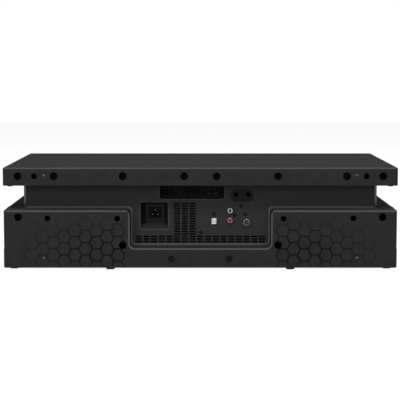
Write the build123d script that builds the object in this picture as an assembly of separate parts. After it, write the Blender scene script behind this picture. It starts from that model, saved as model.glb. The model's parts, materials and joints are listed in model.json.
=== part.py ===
from build123d import *

import os
from math import acos, cos, hypot, pi, radians, sin, tan

# A wide one-box hi-fi with a disc tray, built as the real one comes apart on a bench.
# Millimetres. +X is the right-hand side seen from the front, the front faces -Y, the rear faces +Y and
# +Z is up. The origin is on the floor under the middle of the cabinet.

# Overall form
width = 702.6
depth = 400.0
foot_height = 5.0
foot_side_inset = 14.7
base_height = 102.9
neck_height = 44.1
plate_height = 31.8

# Shells
wall = 2.6
seat_gap = 0.3
base_inset = 0.6
skirt_height = 33.0
skirt_reach = 0.8
plate_corner = 5.0
plate_edge = 1.2
plate_low_edge = 0.6
base_corner = 5.0
base_edge = 1.2
pip_height = 0.8
pip_radius = 3.2
plate_pip_x = 277.8
base_pip = (279.5, 21.7)
pad_height = 2.1
pad_side_inset = 11.3
pad_end_inset = 17.2
rib_height = 1.1

# Rear cover
bay_depth = 48.0
bay_half = 126.0
bay_floor_height = 35.0
bay_corner = 9.0
rear_cover_depth = 72.0
neck_inset_front = 28.5
neck_inset_rear = 35.3
neck_corner = 3.0

# Honeycomb relief
hex_pitch = 22.15
hex_mouth = 21.3
hex_start = 147.2
hex_columns = 9
hex_deepest = 2.6
hex_shallowest = 0.4
hex_slope = 0.8

# Screw wells, as (distance from the middle, height)
well_radius = 6.5
small_well_radius = 4.8
well_depth = 40.0
base_wells = [(324.5, 95.9), (138.6, 45.6)]
small_base_wells = [(272.3, 93.9), (148.1, 93.2)]
strip_screw = (51.6, 20.3)
plate_well_height = 17.0
plate_wells = [324.3, 260.1, 137.9, 28.7]
small_plate_well = 295.2
plate_well_depth = 22.0
screw_radius = 1.6
screw_head_radius = 3.4
screw_head_height = 2.2
screw_length = 12.0

# Vent slots
slot_width = 10.7
slot_height = 2.3
slot_pitch_x = 14.0
slot_pitch_z = 4.64
slot_first_x = 112.0
slot_first_z = 46.0
slot_columns = 17
low_rows = 3
tall_columns = (5, 6, 7)
tall_rows = 16

# Fan outlet
outlet_left = -43.5
outlet_right = 73.8
outlet_bottom = 124.0
outlet_top = 150.0
outlet_corner = 5.0
outlet_depth = 24.0
outlet_wall = 1.6
outlet_slits = 25
slit_width = 1.8

# Mains inlet and its funnel
funnel_width = 49.8
funnel_height = 48.1
funnel_x = 83.9
funnel_z = 93.7
funnel_depth = 22.0
funnel_floor_width = 34.8
funnel_floor_height = 35.0
inlet_x = 82.7
inlet_z = 96.8
inlet_width = 25.0
inlet_height = 21.0
inlet_depth = 20.0
inlet_pin_spacing = 10.0
inlet_pin_radius = 1.2
inlet_pin_drop = 3.4
inlet_pin_rise = 5.0
inlet_lobe = 4.0
inlet_cavity_depth = 14.0

# Sockets on the rear
phono_x = -53.8
white_phono_z = 102.9
red_phono_z = 85.5
phono_radius = 4.15
phono_length = 9.0
wire_socket_x = -24.8
wire_socket_z = 83.3
coax_x = -83.5
coax_z = 82.1
coax_radius = 5.4
coax_length = 9.0
shell_root = 1.5
shell_step = 0.25
pill_x = -75.85
pill_z = 130.2
pill_width = 41.7
pill_height = 22.0
pill_depth = 6.0
jack_spacing = 22.2
jack_lift = 1.1
jack_radius = 5.0
jack_bore = 3.2

# Front
fascia_setback = 10.0
fascia_depth = 12.0
fascia_corner = 8.0
baffle_thickness = 3.0
grille_left = 106.0
grille_right = 338.0
grille_bottom = 16.0
grille_top = 146.0
grille_bars = 12
grille_crown = 3.0
window_width = 124.0
window_height = 32.0
window_z = 102.0
key_width = 18.0
key_height = 8.0
key_z = 70.0
key_spacing = 26.0
key_count = 4
key_travel = 1.0
round_button_radius = 7.0
power_x = 84.0
power_z = 102.0
eject_z = 137.0
knob_radius = 21.0
knob_z = 36.0
mic_knob_radius = 8.0
mic_x = -70.0
mic_knob_z = 46.0
mic_jack_z = 22.0
usb_x = 70.0
jack_reach = 30.0
front_board_gap = 3.8

# Boards
board_lift = 8.0
board_thickness = 1.6
board_half = 88.0
main_board_length = 145.0
main_board_room = 25.0
power_board_length = 110.0
power_board_room = 30.6
socket_depth = 11.0

# Loudspeakers
box_inner = 108.0
box_outer = 316.0
box_top = 150.0
box_depth = 228.0
woofer_x = 236.0
woofer_z = 80.0
woofer_radius = 66.0
woofer_flange = 8.4
surround_width = 10.6
cone_travel = 2.5
tweeter_x = 136.0
tweeter_z = 112.0
port_z = 44.0
port_radius = 17.0

# Disc mechanism
bracket_top = 107.0
chassis_floor = 2.0
mech_half = 69.0
tray_half = 64.5
tray_length = 170.0
tray_bottom = 134.0
tray_thickness = 7.0
rail_grip = 1.6
tray_travel = 130.0
door_height = 19.4
disc_radius = 60.0
small_disc_radius = 40.0
gear_module = 1.2
rack_teeth = 40
pinion_teeth = 16
wheel_module = 1.0
wheel_teeth = 32
drive_teeth = 12
belt_thickness = 1.2
belt_seat = 0.5
belt_clearance = 0.62
motor_pulley_radius = 4.0
lift_angle = 7.0
sled_travel = 34.0
turntable_radius = 15.0
running_gap = 0.08

# Levels and stations that follow from the sizes above
base_bottom = foot_height
base_top = base_bottom + base_height
plate_bottom = base_top + neck_height
top = plate_bottom + plate_height
half = width / 2
base_half = half - base_inset
skirt_half = base_half + skirt_reach
skirt_top = base_bottom + skirt_height
front_y = -depth / 2
rear_y = depth / 2 - pip_height
neck_y = rear_y - bay_depth
seam_y = rear_y - rear_cover_depth
bay_floor = base_bottom + bay_floor_height
neck_half = half - neck_inset_front
neck_rear_half = half - neck_inset_rear
fascia_front = front_y + fascia_setback
fascia_rear = fascia_front + fascia_depth
baffle_rear = fascia_rear + baffle_thickness
neck_top = plate_bottom - seat_gap
front_board_y = fascia_rear - front_board_gap
socket_y = neck_y - wall - socket_depth
board_level = base_bottom + wall + board_lift
main_board_y = (baffle_rear + main_board_room, baffle_rear + main_board_room + main_board_length)
power_board_end = neck_y - wall - power_board_room
power_board_y = (power_board_end - power_board_length, power_board_end)
rib_top = base_bottom + wall + rib_height
box_bottom = rib_top + seat_gap
woofer_y = baffle_rear + seat_gap
cone_radius = woofer_radius - woofer_flange - surround_width

# Stations of the disc mechanism
tray_front = fascia_front + 6.0
disc_y = tray_front + 8 + disc_radius + 1.5
rack_x = 57.0
pinion_radius = gear_module * pinion_teeth / 2
wheel_spacing = wheel_module * (wheel_teeth + drive_teeth) / 2
belt_room = wheel_spacing - pinion_radius - 0.9 * gear_module - belt_clearance
pulley_radius = belt_room - belt_thickness - belt_seat
gear_x = rack_x - pinion_radius
gear_y = baffle_rear + wheel_module * (wheel_teeth / 2 + 1) + 1.3
pulley_x = gear_x - wheel_spacing
motor_x = pulley_x - 45.0
pivot_y = disc_y + 94.0
pivot_z = tray_bottom - 8.0
rod_level = pivot_z + 1.2
chassis_top = tray_bottom + 12.0
chassis_base = bracket_top + chassis_floor
table_level = tray_bottom + tray_thickness - 0.4


def block(x0, x1, y0, y1, z0, z1):
    """A box given by its limits along each axis."""
    return Pos((x0 + x1) / 2, (y0 + y1) / 2, (z0 + z1) / 2) * Box(x1 - x0, y1 - y0, z1 - z0)


def rod_y(radius, x, z, y0, y1):
    """A round bar along Y between two stations."""
    return Pos(x, (y0 + y1) / 2, z) * Rot(90, 0, 0) * Cylinder(radius, y1 - y0)


def rod_x(radius, y, z, x0, x1):
    """A round bar along X between two stations."""
    return Pos((x0 + x1) / 2, y, z) * Rot(0, 90, 0) * Cylinder(radius, x1 - x0)


def rod_z(radius, x, y, z0, z1):
    """A round upright bar between two levels."""
    return Pos(x, y, (z0 + z1) / 2) * Cylinder(radius, z1 - z0)


def tube_z(outer, inner, x, y, z0, z1):
    """An upright tube between two levels."""
    return rod_z(outer, x, y, z0, z1) - rod_z(inner, x, y, z0 - 1, z1 + 1)


def upright(y):
    """A plane across the cabinet at a station, drawn in X and Z, whose sketches extrude towards the front."""
    return Plane((0, y, 0), x_dir=(1, 0, 0), z_dir=(0, -1, 0))


def outline(points):
    """A flat face from corner points."""
    return make_face(Polyline(*points, close=True))


def both_sides(shape):
    """A shape and its mirror image across the middle of the cabinet."""
    return [shape, mirror(shape, about=Plane.YZ)]


def turned(profile, x, z, y):
    """A profile drawn as (radius, depth) spun about a line along Y through a place on the front."""
    return Pos(x, y, z) * revolve(profile, Axis.Y)


def slab_outline(half_x, y0, y1, corner):
    """A rounded rectangle in plan."""
    return Pos(0, (y0 + y1) / 2) * RectangleRounded(2 * half_x, y1 - y0, corner)


def one(shape):
    """The single solid of a result."""
    found = shape.solids()
    if len(found) != 1:
        raise ValueError(f"expected one solid, found {len(found)}")
    return found[0]


# Plate


def plate_screw_z():
    """The height of the row of wells in the plate's rear skirt."""
    return plate_bottom + plate_well_height


def plate_well_places():
    """Every well in the plate's rear skirt, as (x, radius)."""
    places = [(x, well_radius) for x in plate_wells] + [(small_plate_well, small_well_radius)]
    return [(side * x, radius) for x, radius in places for side in (-1, 1)]


def top_cover():
    """The overhanging plate: a deep tray upside down, with screw wells moulded into its rear skirt."""
    outer = extrude(slab_outline(half, front_y, rear_y, plate_corner), plate_height)
    outer = fillet(outer.edges().group_by(Axis.Z)[-1], plate_edge)
    outer = fillet(outer.edges().group_by(Axis.Z)[0], plate_low_edge)
    inner = extrude(
        slab_outline(half - wall, front_y + wall, rear_y - wall, plate_corner - wall),
        plate_height - wall,
    )
    cover = Pos(0, 0, plate_bottom) * (outer - inner)
    z = plate_screw_z()
    floor_y = rear_y - plate_well_depth
    for x, radius in plate_well_places():
        cover += rod_y(radius + 2, x, z, floor_y - wall, rear_y - wall / 2)
    for x, radius in plate_well_places():
        cover -= rod_y(radius, x, z, floor_y, rear_y + 1)
        cover -= rod_y(screw_radius + 0.2, x, z, floor_y - wall - 1, rear_y)
    cover += [pip(side * plate_pip_x, z + 1.5) for side in (-1, 1)]
    return one(cover)


def pip(x, z):
    """A small raised dome on the rear face, rooted in the wall."""
    root = -wall / 2
    ball = (pip_radius**2 + pip_height**2) / (2 * pip_height)
    middle = pip_radius / 2
    crown = ThreePointArc((pip_radius, 0), (middle, pip_height - ball + (ball**2 - middle**2) ** 0.5),
                          (0, pip_height))
    rest = Polyline((0, pip_height), (0, root), (pip_radius, root), (pip_radius, 0))
    return turned(make_face(crown + rest), x, z, rear_y)


def under_panel():
    """The panel that closes the plate from below, with a well for the disc mechanism and screw posts."""
    z0 = plate_bottom + 0.8
    z1 = z0 + 2.4
    inset = wall + seat_gap
    corner = plate_corner - inset
    face = slab_outline(half - inset, front_y + inset, rear_y - inset, corner)
    opening = Pos(0, disc_y + 44.5) * RectangleRounded(190, 230, 6)
    panel = Pos(0, 0, z0) * extrude(face - opening, z1 - z0)
    post_y = rear_y - plate_well_depth - wall
    z = plate_screw_z()
    for x, radius in plate_well_places():
        panel += block(x - 6, x + 6, post_y - 12, post_y, z1 - 0.5, z + 6)
        panel -= rod_y(screw_radius, x, z, post_y - 10.5, post_y + 1)
    pad_x = half - pad_side_inset
    for y in (front_y + pad_end_inset + 33, rear_y - pad_end_inset):
        pad = block(pad_x - 4, pad_x + 4, y - 6, y + 6, plate_bottom - pad_height, z0 + 1)
        panel += both_sides(pad)
    rib_x = half - inset - 3
    for y in (front_y + 80, 0, rear_y - 109):
        panel += both_sides(block(rib_x - 20, rib_x, y - 1, y + 1, z1 - 0.5, z1 + 12))
    return one(panel)


# Rear cover


def rear_form(inset):
    """The rear cover's body as a full solid, drawn in by an inset so that the same form makes its hollow."""
    low = base_bottom if inset == 0 else base_bottom - 2
    front = seam_y if inset == 0 else seam_y - 2
    high = base_top - inset
    side = base_half - inset
    bay = bay_half + inset
    floor = bay_floor - inset
    u_points = [
        (-side, low), (-side, high), (-bay, high), (-bay, floor),
        (bay, floor), (bay, high), (side, high), (side, low),
    ]
    u_face = outline(u_points)
    bay_corners = [v for v in u_face.vertices() if abs(abs(v.X) - bay) < 0.1]
    u_face = fillet(bay_corners, bay_corner)
    blocks = extrude(upright(rear_y - inset) * u_face, bay_depth)
    ends = blocks.edges().filter_by(Axis.Z).filter_by(lambda e: e.center().Y > neck_y + 10)
    ends = ends.filter_by(lambda e: abs(e.center().X) > side - 1)
    blocks = fillet(ends, base_corner - inset)
    if inset == 0:
        rim = blocks.edges().filter_by(lambda e: e.center().Y > rear_y - 0.01)
        rim = rim.filter_by(lambda e: e.center().Z > base_bottom + 0.1 or abs(e.center().X) > side)
        blocks = fillet(rim, base_edge)
    body = block(-side, side, front, neck_y - inset, low, high)
    neck_high = neck_top if inset == 0 else neck_top + 2
    neck = Pos(0, 0, high - 5) * extrude(neck_plan(inset), neck_high - high + 5)
    if inset:
        neck += block(inset - neck_half, neck_half - inset, front, seam_y, high - 5, neck_high)
    return blocks + body + neck


def neck_plan(inset):
    """The neck behind the seam in plan, narrower at the rear, with rounded rear corners."""
    wide = neck_half - inset
    narrow = neck_rear_half - inset
    back = neck_y - inset
    face = outline([(-wide, seam_y), (wide, seam_y), (narrow, back), (-narrow, back)])
    return fillet([v for v in face.vertices() if v.Y > back - 0.1], neck_corner)


def hexagon_places():
    """Every honeycomb cell on one side, as (x, z, depth): deep low down near the bay, fading out and up."""
    step_x = hex_pitch * 0.75 / cos(pi / 6)
    low_z = 7.1
    places = []
    for column in range(hex_columns):
        x = hex_start + column * step_x
        shift = 0.5 * (column % 2)
        for row in range(5):
            z = low_z + (row + shift) * hex_pitch
            reach = hypot((x - hex_start) / 185, (z - 20) / 95)
            sunk = hex_deepest * (1 - reach)
            if sunk > hex_shallowest and 15 < z < 86:
                places.append((x, z, sunk))
    return places


def hexagon_cutters():
    """Tapered six-sided pockets, mirrored to both sides of the rear face."""
    cutters = []
    for x, z, sunk in hexagon_places():
        if any(hypot(x - wx, z - wz) < well_radius + 5 for wx, wz in base_wells + small_base_wells):
            continue
        mouth = hex_mouth / 2 / cos(pi / 6)
        floor = mouth - hex_slope * sunk
        top_face = upright(rear_y + 0.01) * Pos(x, z) * RegularPolygon(mouth, 6)
        low_face = upright(rear_y - sunk) * Pos(x, z) * RegularPolygon(floor, 6)
        cutters += both_sides(loft([top_face, low_face]))
    return cutters


def base_well_places():
    """Every well in the base's rear face, as (x, z, radius)."""
    places = [(x, z, well_radius) for x, z in base_wells]
    places += [(x, z, small_well_radius) for x, z in small_base_wells]
    return [(side * x, z, radius) for x, z, radius in places for side in (-1, 1)]


def vent_cutters():
    """The rows of slots across the bay's back wall, three columns of them running up to the outlet."""
    cutters = []
    for column in range(slot_columns):
        rows = tall_rows if column in tall_columns else low_rows
        x = slot_first_x - column * slot_pitch_x
        for row in range(rows):
            z = slot_first_z + row * slot_pitch_z
            cutters.append(block(x - slot_width / 2, x + slot_width / 2, neck_y - wall - 1, neck_y + 1,
                                 z - slot_height / 2, z + slot_height / 2))
    return cutters


def funnel(grow, deeper):
    """The tapered hollow round the mains inlet, grown sideways and deepened to make its outside."""
    mouth = upright(neck_y + (0 if grow else 0.01)) * Pos(funnel_x, funnel_z) * Rectangle(
        funnel_width + 2 * grow, funnel_height + 2 * grow)
    floor = upright(neck_y - funnel_depth - deeper) * Pos(inlet_x, funnel_z + 1.4) * Rectangle(
        funnel_floor_width + 2 * grow, funnel_floor_height + 2 * grow)
    return loft([mouth, floor])


def outlet_face(grow):
    """The fan outlet's outline, rounded at its lower corners."""
    points = [(outlet_left - grow, outlet_top + grow), (outlet_right + grow, outlet_top + grow),
              (outlet_right + grow, outlet_bottom - grow), (outlet_left - grow, outlet_bottom - grow)]
    face = outline(points)
    return fillet(face.vertices().sort_by(Axis.Y)[:2], outlet_corner + grow)


def outlet_duct():
    """The deep recess of the fan outlet, closed in front of the fan by a wall of upright slits."""
    y1 = neck_y - outlet_depth
    duct = extrude(upright(neck_y - 0.5) * outlet_face(outlet_wall), outlet_depth - 0.5)
    duct -= extrude(upright(neck_y + 1) * outlet_face(0), outlet_depth + 1 - outlet_wall)
    pitch = (outlet_right - outlet_left) / (outlet_slits + 1)
    slits = []
    for slit in range(outlet_slits):
        x = outlet_left + (slit + 1) * pitch
        slits.append(block(x - slit_width / 2, x + slit_width / 2, y1 - 1, y1 + outlet_wall + 1,
                           outlet_bottom + outlet_corner - 1, outlet_top - 2))
    return duct - slits


def pill_face(grow):
    """The rounded outline of the recess round the two jack sockets."""
    return Pos(pill_x, pill_z) * RectangleRounded(
        pill_width + 2 * grow, pill_height + 2 * grow, pill_height / 2 + grow - 0.05)


def jack_places():
    """The two jack sockets in the pill recess, as (x, z)."""
    return [(pill_x + side * jack_spacing / 2, pill_z + jack_lift) for side in (-1, 1)]


def rear_cover():
    """The moulded rear: base blocks with honeycomb and wells, the connector bay and the neck's back."""
    cover = rear_form(0) - rear_form(wall)
    cover -= both_sides(block(base_half - wall - 2, skirt_half + 1, seam_y - 1, rear_y - base_corner - 1,
                              base_bottom - 1, skirt_top + seat_gap))
    solid_parts = [rod_y(radius + 2, x, z, rear_y - well_depth - wall, rear_y - wall / 2)
                   for x, z, radius in base_well_places()]
    solid_parts.append(funnel(2.2, 2.2))
    solid_parts.append(outlet_duct())
    solid_parts.append(extrude(upright(neck_y - 0.5) * pill_face(2), pill_depth + 1.5))
    x, z = strip_screw
    solid_parts += [rod_y(9, side * x, z, rear_y - 8, rear_y - 1) for side in (-1, 1)]
    cover += solid_parts
    holes = hexagon_cutters() + vent_cutters()
    for wx, wz, radius in base_well_places():
        holes.append(rod_y(radius, wx, wz, rear_y - well_depth, rear_y + 1))
        holes.append(rod_y(screw_radius + 0.2, wx, wz, rear_y - well_depth - wall - 1, rear_y))
    holes.append(funnel(0, 0))
    holes.append(block(inlet_x - inlet_width / 2, inlet_x + inlet_width / 2, neck_y - funnel_depth - 5,
                       neck_y - funnel_depth + 1, inlet_z - inlet_height / 2, inlet_z + inlet_height / 2))
    holes.append(extrude(upright(neck_y + 1) * outlet_face(0), wall + 2))
    holes.append(extrude(upright(neck_y + 1) * pill_face(0), pill_depth + 1))
    holes += [rod_y(jack_radius + 0.2, jx, jz, neck_y - pill_depth - 5, neck_y) for jx, jz in jack_places()]
    for hx, hz in ((phono_x, white_phono_z), (phono_x, red_phono_z)):
        holes.append(rod_y(phono_radius + 0.3, hx, hz, neck_y - wall - 1, neck_y + 1))
    holes.append(rod_y(coax_radius + 0.3, coax_x, coax_z, neck_y - wall - 1, neck_y + 1))
    holes.append(block(wire_socket_x - 5.7, wire_socket_x + 5.7, neck_y - wall - 1, neck_y + 1,
                       wire_socket_z - 5.6, wire_socket_z + 5.6))
    for side in (-1, 1):
        holes.append(rod_y(7, side * x, z, rear_y - 4, rear_y + 1))
        holes.append(rod_y(screw_radius + 0.2, side * x, z, rear_y - 9, rear_y))
    cover -= holes
    cover += [pip(side * base_pip[0], base_pip[1]) for side in (-1, 1)]
    return one(cover)


# Cabinet


def side_profile():
    """The right-hand side wall in section: base side, ledge and neck, with a lip inside the tray's skirt."""
    lip = skirt_half - wall - seat_gap
    inner = base_half - wall
    points = [
        (lip, skirt_top - 8), (lip, skirt_top + seat_gap), (base_half, skirt_top + seat_gap),
        (base_half, base_top), (neck_half, base_top), (neck_half, neck_top),
        (neck_half - wall, neck_top), (neck_half - wall, base_top - wall), (inner, base_top - wall),
        (inner, skirt_top + 3), (lip - wall, skirt_top + 3), (lip - wall, skirt_top - 8),
    ]
    face = outline(points)
    return fillet([v for v in face.vertices() if v.X > base_half - 0.1 and v.Y > base_top - 0.1], base_edge)


def front_cabinet():
    """The cabinet: a front baffle with both side walls, cut for the drivers, ports and disc tray."""
    low = base_bottom + wall + seat_gap
    y_mid = (fascia_rear + baffle_rear) / 2
    cabinet = block(-base_half, base_half, fascia_rear, baffle_rear, low, neck_top)
    wall_face = side_profile()
    for face in (wall_face, mirror(wall_face, about=Plane.YZ)):
        cabinet += extrude(upright(seam_y - seat_gap) * face, seam_y - seat_gap - y_mid)
    skirt_inner = skirt_half - wall - seat_gap
    cabinet -= both_sides(block(skirt_inner, skirt_half + 1, fascia_rear - 1, baffle_rear + 1,
                                low - 1, skirt_top + seat_gap))
    for side in (-1, 1):
        cabinet -= rod_y(woofer_radius - 7, side * woofer_x, woofer_z, fascia_rear - 1, baffle_rear + 1)
        cabinet -= rod_y(20, side * tweeter_x, tweeter_z, fascia_rear - 1, baffle_rear + 1)
        cabinet -= rod_y(port_radius, side * tweeter_x, port_z, fascia_rear - 1, baffle_rear + 1)
    cabinet -= block(-tray_half - 2.5, tray_half + 2.5, fascia_rear - 1, baffle_rear + 1,
                     tray_bottom - 6, tray_bottom + tray_thickness + 6)
    cabinet -= jack_passage(fascia_rear - 1, baffle_rear + 1)
    x, z = base_wells[0]
    post_y = rear_y - well_depth - wall
    for side in (-1, 1):
        cabinet += block(side * x - 5, side * x + 5, post_y - 38, post_y, z - 5, base_top - wall - seat_gap)
        cabinet += block(side * x - 5, side * x + 5, post_y - 38, seam_y - 1, z, base_top - wall + 0.5)
        cabinet -= rod_y(screw_radius, side * x, z, post_y - 14, post_y + 1)
    return one(cabinet)


def bottom_tray():
    """The floor of the cabinet with its side skirts, stiffening ribs, board posts and screw posts."""
    front = fascia_rear + seat_gap
    back = rear_y - wall - seat_gap
    inner = skirt_half - wall
    rear_half = base_half - wall - base_corner
    skirt_back = rear_y - base_corner - 1 - seat_gap
    tray = block(-rear_half, rear_half, front, back, base_bottom, base_bottom + wall)
    tray += block(-skirt_half, skirt_half, front, skirt_back, base_bottom, base_bottom + wall)
    for side in (-1, 1):
        x0, x1 = sorted((side * inner, side * skirt_half))
        tray += block(x0, x1, front, skirt_back, base_bottom, skirt_top)
    low = [e for e in tray.edges().filter_by(Axis.Y) if e.center().Z < base_bottom + 0.1
           and abs(e.center().X) > skirt_half - 0.1]
    tray = fillet(low, wall * 0.9)
    rib_y = [baffle_rear + box_depth * share for share in (0.25, 0.5, 0.75)]
    for y in rib_y:
        tray += both_sides(block(box_inner + 14, box_outer - 14, y - 1, y + 1, base_bottom + 1, rib_top))
    for x, y in board_posts():
        tray += rod_z(3.5, x, y, base_bottom + 1, board_level)
        tray -= rod_z(1.3, x, y, board_level - 6, board_level + 1)
    x, z = strip_screw
    bx, bz = base_wells[1]
    for side in (-1, 1):
        tray += block(side * x - 5, side * x + 5, rear_y - 22, rear_y - 8 - seat_gap, base_bottom + 1, z + 5)
        tray -= rod_y(screw_radius, side * x, z, rear_y - 21, rear_y - 8)
        post_y = rear_y - well_depth - wall - seat_gap
        tray += block(side * bx - 5, side * bx + 5, post_y - 16, post_y, base_bottom + 1, bz + 5)
        tray -= rod_y(screw_radius, side * bx, bz, post_y - 14, post_y + 1)
    return one(tray)


def feet():
    """The feet: one under each corner and two narrower ones under the rear and front, in rubber."""
    solids = []
    outer_x = base_half - foot_side_inset
    places = [(outer_x, rear_y - 31, 17.5, 12.5), (outer_x, front_y + 45, 17.5, 12.5),
              (161.5, rear_y - 20, 21.0, 12.7), (161.5, front_y + 34, 21.0, 12.7)]
    for x, y, wide, narrow in places:
        for side in (-1, 1):
            upper = Plane((side * x, y, base_bottom)) * RectangleRounded(wide, wide * 0.9, 3)
            lower = Plane((side * x, y, 0)) * RectangleRounded(narrow, narrow * 0.9, 2)
            solids.append(loft([lower, upper]))
    return Compound(children=solids)


# Boards and power


def board_posts():
    """Where the two floor boards are screwed down, as (x, y)."""
    ys = [main_board_y[0] + 7, main_board_y[1] - 7, power_board_y[0] + 7, power_board_y[1] - 7]
    return [(side * (board_half - 7), y) for side in (-1, 1) for y in ys]


def floor_board(y_range):
    """A circuit board lying on the tray's posts."""
    board = block(-board_half, board_half, *y_range, board_level, board_level + board_thickness)
    for x, y in board_posts():
        if y_range[0] < y < y_range[1]:
            board -= rod_z(1.7, x, y, board_level - 1, board_level + 3)
    return board


def chips(board, start, places, z):
    """Parts soldered to a board, each as (x, distance from its front edge, length, width, height)."""
    for x, back, length, breadth, high in places:
        y = start + back
        board += block(x - length / 2, x + length / 2, y - breadth / 2, y + breadth / 2, z - 0.2, z + high)
    return board


def main_board():
    """The main board with its processor, disc chip, memory and plug headers."""
    parts = [(0, 70, 24, 24, 1.6), (-45, 90, 14, 14, 1.6), (42, 95, 18, 9, 1.4), (40, 45, 12, 12, 1.4),
             (-50, 30, 30, 6, 8), (50, 15, 30, 6, 8), (0, 125, 40, 6, 8), (-62, 55, 5, 22, 8)]
    return one(chips(floor_board(main_board_y), main_board_y[0], parts, board_level + board_thickness))


def power_board():
    """The supply and amplifier board with its bulk capacitors, coils and plug headers."""
    z = board_level + board_thickness
    start = power_board_y[0]
    parts = [(60, 22, 22, 16, 14), (28, 14, 12, 10, 10), (-10, 88, 36, 8, 9), (-60, 92, 24, 8, 9)]
    board = chips(floor_board(power_board_y), start, parts, z)
    for x, back, radius, high in ((22, 52, 11, 34), (22, 78, 11, 34), (-5, 58, 7, 22), (84, 52, 4, 14)):
        board += rod_z(radius, x, start + back, z - 0.2, z + high)
    return one(board)


def transformer():
    """The switching transformer: a ferrite core with its winding and bobbin."""
    z = board_level + board_thickness
    y = power_board_y[0] + 63
    core = block(40, 76, y - 19, y + 19, z, z + 32)
    core -= [block(44, 72, y - 20, y - 11, z + 7, z + 25), block(44, 72, y + 11, y + 20, z + 7, z + 25)]
    return one(core + block(46, 70, y - 21, y + 21, z + 8, z + 24))


def heat_sink():
    """The amplifier's aluminium heat sink: a back plate with tall fins."""
    z = board_level + board_thickness
    y = power_board_y[0] + 22
    sink = block(-80, -26, y, y + 4, z, z + 46)
    sink += [block(-80 + 4.75 * i, -78.5 + 4.75 * i, y + 3, y + 28, z, z + 46) for i in range(12)]
    return one(sink)


def jack_board():
    """The upright board that carries the rear sockets."""
    y1 = socket_y
    board = block(-104, -16, y1 - board_thickness, y1, 74, 144)
    board += block(-98, -40, y1 - 8, y1 - 1, 76, 82)
    for jx, jz in jack_places():
        board -= block(jx - 8.4, jx + 8.4, y1 - 5, y1 + 1, jz - 8.4, jz + 8.4)
    reach = outlet_wall + seat_gap
    board -= block(outlet_left - reach, 0, y1 - 5, y1 + 1, outlet_bottom - reach, outlet_top + reach)
    return one(board)


def fan_centre():
    """The fan's middle, as (x, z), behind the outlet and the tall vent columns."""
    return (outlet_left + outlet_right) / 2, outlet_top - 27.5


def fan_frame():
    """The axial fan's square frame with its motor hub on three struts."""
    x, z = fan_centre()
    y1 = neck_y - outlet_depth - seat_gap
    frame = block(x - 28, x + 28, y1 - 15, y1, z - 28, z + 28) - rod_y(26.5, x, z, y1 - 16, y1 + 1)
    frame += rod_y(11, x, z, y1 - 2.5, y1)
    for turn in (90, 210, 330):
        strut = Pos(x, y1 - 1.25, z) * Rot(0, turn, 0) * Pos(18.5, 0, 0) * Box(17, 2.5, 3)
        frame += strut
    frame += rod_y(2, x, z, y1 - 12, y1 - 1)
    return one(frame)


def fan_rotor():
    """The fan's cup-shaped hub with seven pitched blades."""
    x, z = fan_centre()
    y1 = neck_y - outlet_depth - seat_gap
    rotor = rod_y(11.5, x, z, y1 - 14, y1 - 3.2) - rod_y(2 + running_gap, x, z, y1 - 12.5, y1 - 3)
    rotor -= rod_y(10, x, z, y1 - 8, y1 - 3)
    rotor += tube_y(4, 2 + running_gap, x, z, y1 - 9, y1 - 3.2)
    blades = []
    for blade in range(7):
        vane = Pos(18.2, 0, 0) * Rot(38, 0, 0) * Box(14.5, 1.2, 11)
        blades.append(Pos(x, y1 - 8.6, z) * Rot(0, blade * 360 / 7, 0) * vane)
    return one(rotor + blades)


def tube_y(outer, inner, x, z, y0, y1):
    """A tube along Y between two stations."""
    return rod_y(outer, x, z, y0, y1) - rod_y(inner, x, z, y0 - 1, y1 + 1)


# Sockets


def inlet_pin_places():
    """The inlet's three pins, two below and one above, as (x, z)."""
    reach = inlet_pin_spacing / 2
    low = inlet_z - inlet_pin_drop
    return [(inlet_x - reach, low), (inlet_x + reach, low), (inlet_x, inlet_z + inlet_pin_rise)]


def mains_inlet():
    """The three-pin inlet's housing: a flanged block with a three-lobed cavity round the pins."""
    y0 = neck_y - funnel_depth
    w, h = inlet_width / 2 - 0.2, inlet_height / 2 - 0.2
    flange_y = y0 - 2.2 - seat_gap
    body = block(inlet_x - w, inlet_x + w, y0 - inlet_depth, y0, inlet_z - h, inlet_z + h)
    body += block(inlet_x - w - 2, inlet_x + w + 2, flange_y - 2.5, flange_y, inlet_z - h, inlet_z + h)
    y_floor = y0 - inlet_cavity_depth
    for x, z in inlet_pin_places():
        lobe = upright(y0 + 1) * Pos(x, z) * Rot(0, 0, 22.5) * RegularPolygon(inlet_lobe, 8)
        body -= extrude(lobe, y0 + 1 - y_floor)
    body -= block(inlet_x - 5, inlet_x + 5, y_floor, y0 + 1, inlet_z - 7.4, inlet_z + 3)
    return one(body)


def inlet_pins():
    """The inlet's three metal pins, standing on the floor of its cavity."""
    y0 = neck_y - funnel_depth
    return Compound(children=[rod_y(inlet_pin_radius, x, z, y0 - inlet_cavity_depth, y0 - 1)
                              for x, z in inlet_pin_places()])


def stepped_shell(radius, x, z, y0, y1):
    """A socket's round shell, a little slimmer at its root so that a plug's sleeve stops clear of the wall."""
    return rod_y(radius - shell_step, x, z, y0, neck_y + shell_root) + rod_y(
        radius, x, z, neck_y + shell_root, y1)


def phono_jack(z):
    """A phono socket: round shell on a square body that stands on the jack board."""
    y1 = socket_y
    inside = neck_y - wall - 0.2
    jack = block(phono_x - 5.5, phono_x + 5.5, y1, inside, z - 6.2, z + 6.2)
    jack += stepped_shell(phono_radius, phono_x, z, inside - 1, neck_y + phono_length)
    jack -= tube_y(3.4, 2.4, phono_x, z, neck_y + shell_root, neck_y + phono_length + 1)
    jack -= rod_y(1.6, phono_x, z, neck_y - 2, neck_y + phono_length + 1)
    return one(jack)


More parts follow.
